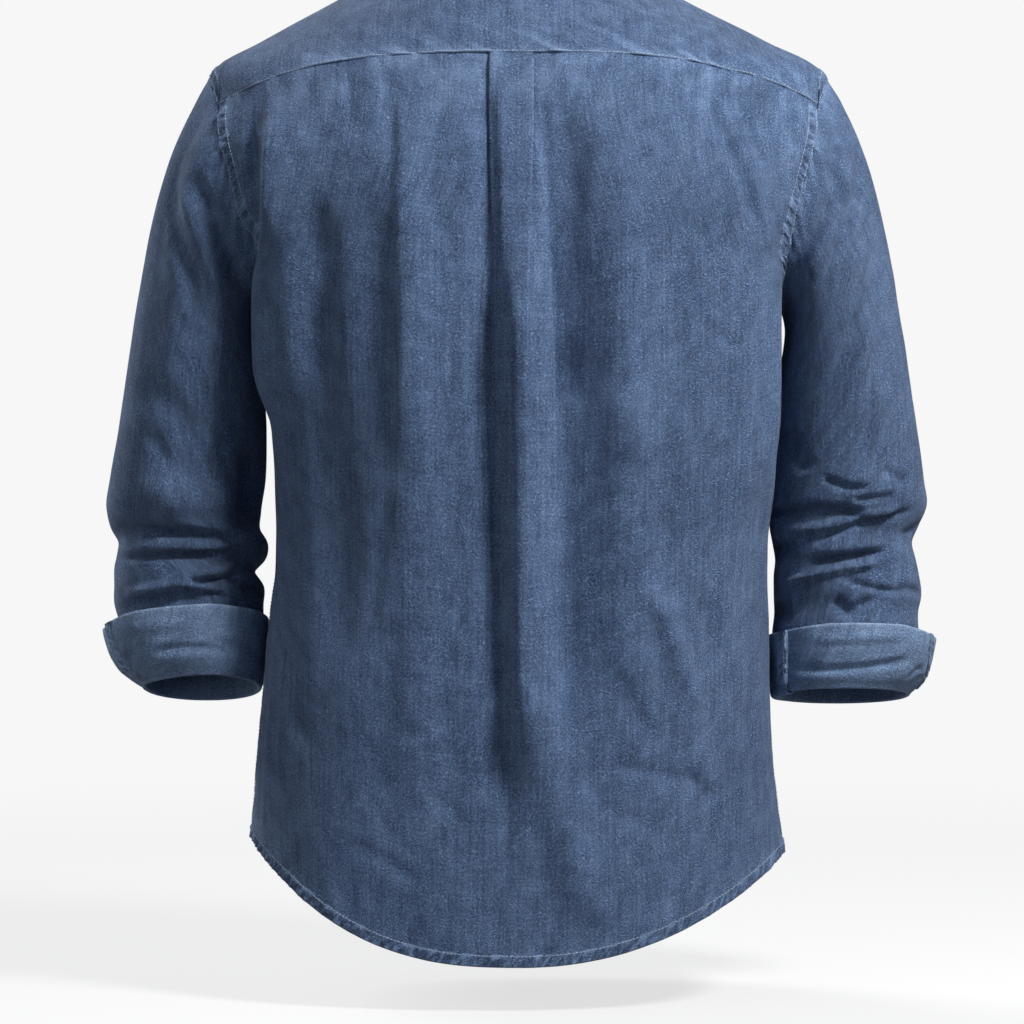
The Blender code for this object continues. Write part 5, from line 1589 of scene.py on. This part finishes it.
def lamp(light, towards):
    """A light that shines from the direction towards."""
    made = bpy.data.objects.new(light.name, light)
    made.rotation_mode = "QUATERNION"
    made.rotation_quaternion = Vector((0, 0, 1)).rotation_difference(Vector(towards))
    bpy.context.scene.collection.objects.link(made)
    return made


def lights():
    key = bpy.data.lights.new("key", "AREA")
    key.shape, key.size, key.energy = "DISK", KEY_SIZE, KEY_POWER
    lamp(key, np.subtract(KEY_PLACE, KEY_TARGET)).location = KEY_PLACE
    for sun in SUNS:
        light = bpy.data.lights.new(sun.name, "SUN")
        light.energy, light.angle = sun.strength, np.radians(sun.soft)
        lamp(light, sun.towards)


def studio():
    scene = bpy.context.scene
    scene.view_settings.view_transform = "Standard"
    camera = bpy.data.cameras.new("camera")
    camera.lens, camera.sensor_width = CAMERA_LENS, CAMERA_SENSOR
    made = bpy.data.objects.new("camera", camera)
    made.location = CAMERA_PLACE
    made.rotation_euler = (np.radians(90), 0, np.radians(180))
    scene.collection.objects.link(made)
    scene.camera = made

    world = bpy.data.worlds.new("studio")
    scene.world = world
    world.use_nodes = True
    tree = world.node_tree
    tree.nodes.clear()
    seen = node(tree, "ShaderNodeBackground", {0: (*BACKGROUND, 1), 1: 1.0}).outputs[0]
    cast = node(tree, "ShaderNodeBackground", {0: (*AMBIENT, 1), 1: AMBIENT_STRENGTH}).outputs[0]
    direct = node(tree, "ShaderNodeLightPath").outputs["Is Camera Ray"]
    mixed = node(tree, "ShaderNodeMixShader", {0: direct, 1: cast, 2: seen}).outputs[0]
    node(tree, "ShaderNodeOutputWorld", {0: mixed})

    pale, tree = new_material("floor")
    tree.nodes.clear()
    lit = node(tree, "ShaderNodeBsdfDiffuse", {0: (*FLOOR_COLOUR, 1)}).outputs[0]
    glow = node(tree, "ShaderNodeEmission", {0: (FLOOR_GLOW,) * 3 + (1,), 1: 1.0}).outputs[0]
    near = node(tree, "ShaderNodeAddShader", {0: lit, 1: glow}).outputs[0]
    far = node(tree, "ShaderNodeEmission", {0: (*BACKGROUND, 1), 1: 1.0}).outputs[0]
    place = node(tree, "ShaderNodeTexCoord").outputs["Object"]
    level_place = node(tree, "ShaderNodeVectorMath", {0: place, 1: (1.0, 1.0, 0.0)},
                       operation="MULTIPLY").outputs[0]
    away = node(tree, "ShaderNodeVectorMath", {0: level_place}, operation="LENGTH").outputs[1]
    fade = node(tree, "ShaderNodeMapRange", {
        "Value": away, "From Min": FLOOR_NEAR, "From Max": FLOOR_FAR},
        interpolation_type="SMOOTHSTEP").outputs[0]
    mixed = node(tree, "ShaderNodeMixShader", {0: fade, 1: near, 2: far}).outputs[0]
    node(tree, "ShaderNodeOutputMaterial", {0: mixed})
    rim = circle(FLOOR_RADIUS, FLOOR_Z, FLOOR_SIDES)
    floor = mesh_object("floor", rim, [tuple(range(len(rim)))], pale, rounded=False)
    floor.visible_diffuse = False       # its glow doesn't light the cloth
    lights()


# ----------------------------------------------------------------------- main

FACE_SHADES = ((0.022, 0.0425, 0.092), (0.098, 0.163, 0.303), (0.270, 0.394, 0.625))
INSIDE_SHADES = ((0.060, 0.098, 0.172), (0.195, 0.303, 0.500), (0.410, 0.550, 0.790))
THREAD_COLOUR, PEARL = (0.50, 0.60, 0.74), (0.66, 0.65, 0.61)
# The near-black of the discs that stand for the button holes: painted shade.
HOLE_SHADE_COLOUR = (0.01, 0.01, 0.015)

# What each piece was cut to: width and length of the cloth, and its flat area.
Cut = namedtuple("Cut", "width length area held")


def main():
    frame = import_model()
    studio()
    face = chambray("chambray", FACE_SHADES)
    inside = chambray("chambray_inside", INSIDE_SHADES)
    sewing = tinted("thread", THREAD_COLOUR, THREAD)
    pearl = tinted("button", PEARL, PLASTIC)
    # Painted shade for the button holes.
    hole_shade = tinted("button_hole", HOLE_SHADE_COLOUR, PLASTIC)

    pieces = {"back_panel": make_back(), "yoke": make_yoke(), "front_placket": make_placket(),
              "collar_stand": make_stand(), "collar_leaf": make_leaf()}
    for side, word in ((LEFT, "left"), (RIGHT, "right")):
        pieces[f"front_{word}"] = make_front(side)
        pieces[f"sleeve_{word}"] = make_sleeve(side)
        pieces[f"cuff_{word}"] = make_cuff(side)

    lines = []
    for name, (surface, bands, stitched) in pieces.items():
        slot = "chambray_inside" if name.startswith("cuff") else "chambray"
        finish = inside if slot == "chambray_inside" else face
        cloth = grid_object(f"{name}_cloth", [surface], finish, SHELL)
        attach(cloth, "root")
        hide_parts(name)
        sewn = []
        if bands:
            sewn.append(grid_object(f"{name}_bands", bands, finish))
            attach(sewn[0], "root")
        lines += stitched

    stitches = stitches_object("stitches", lines, sewing)
    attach(stitches, "root")

    for name, cad in frame["nodes"].items():
        if name.startswith("button"):
            made = turned_button(f"{name}_shown", cad, pearl, sewing, hole_shade)
            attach(made, "root")
            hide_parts(name)


main()
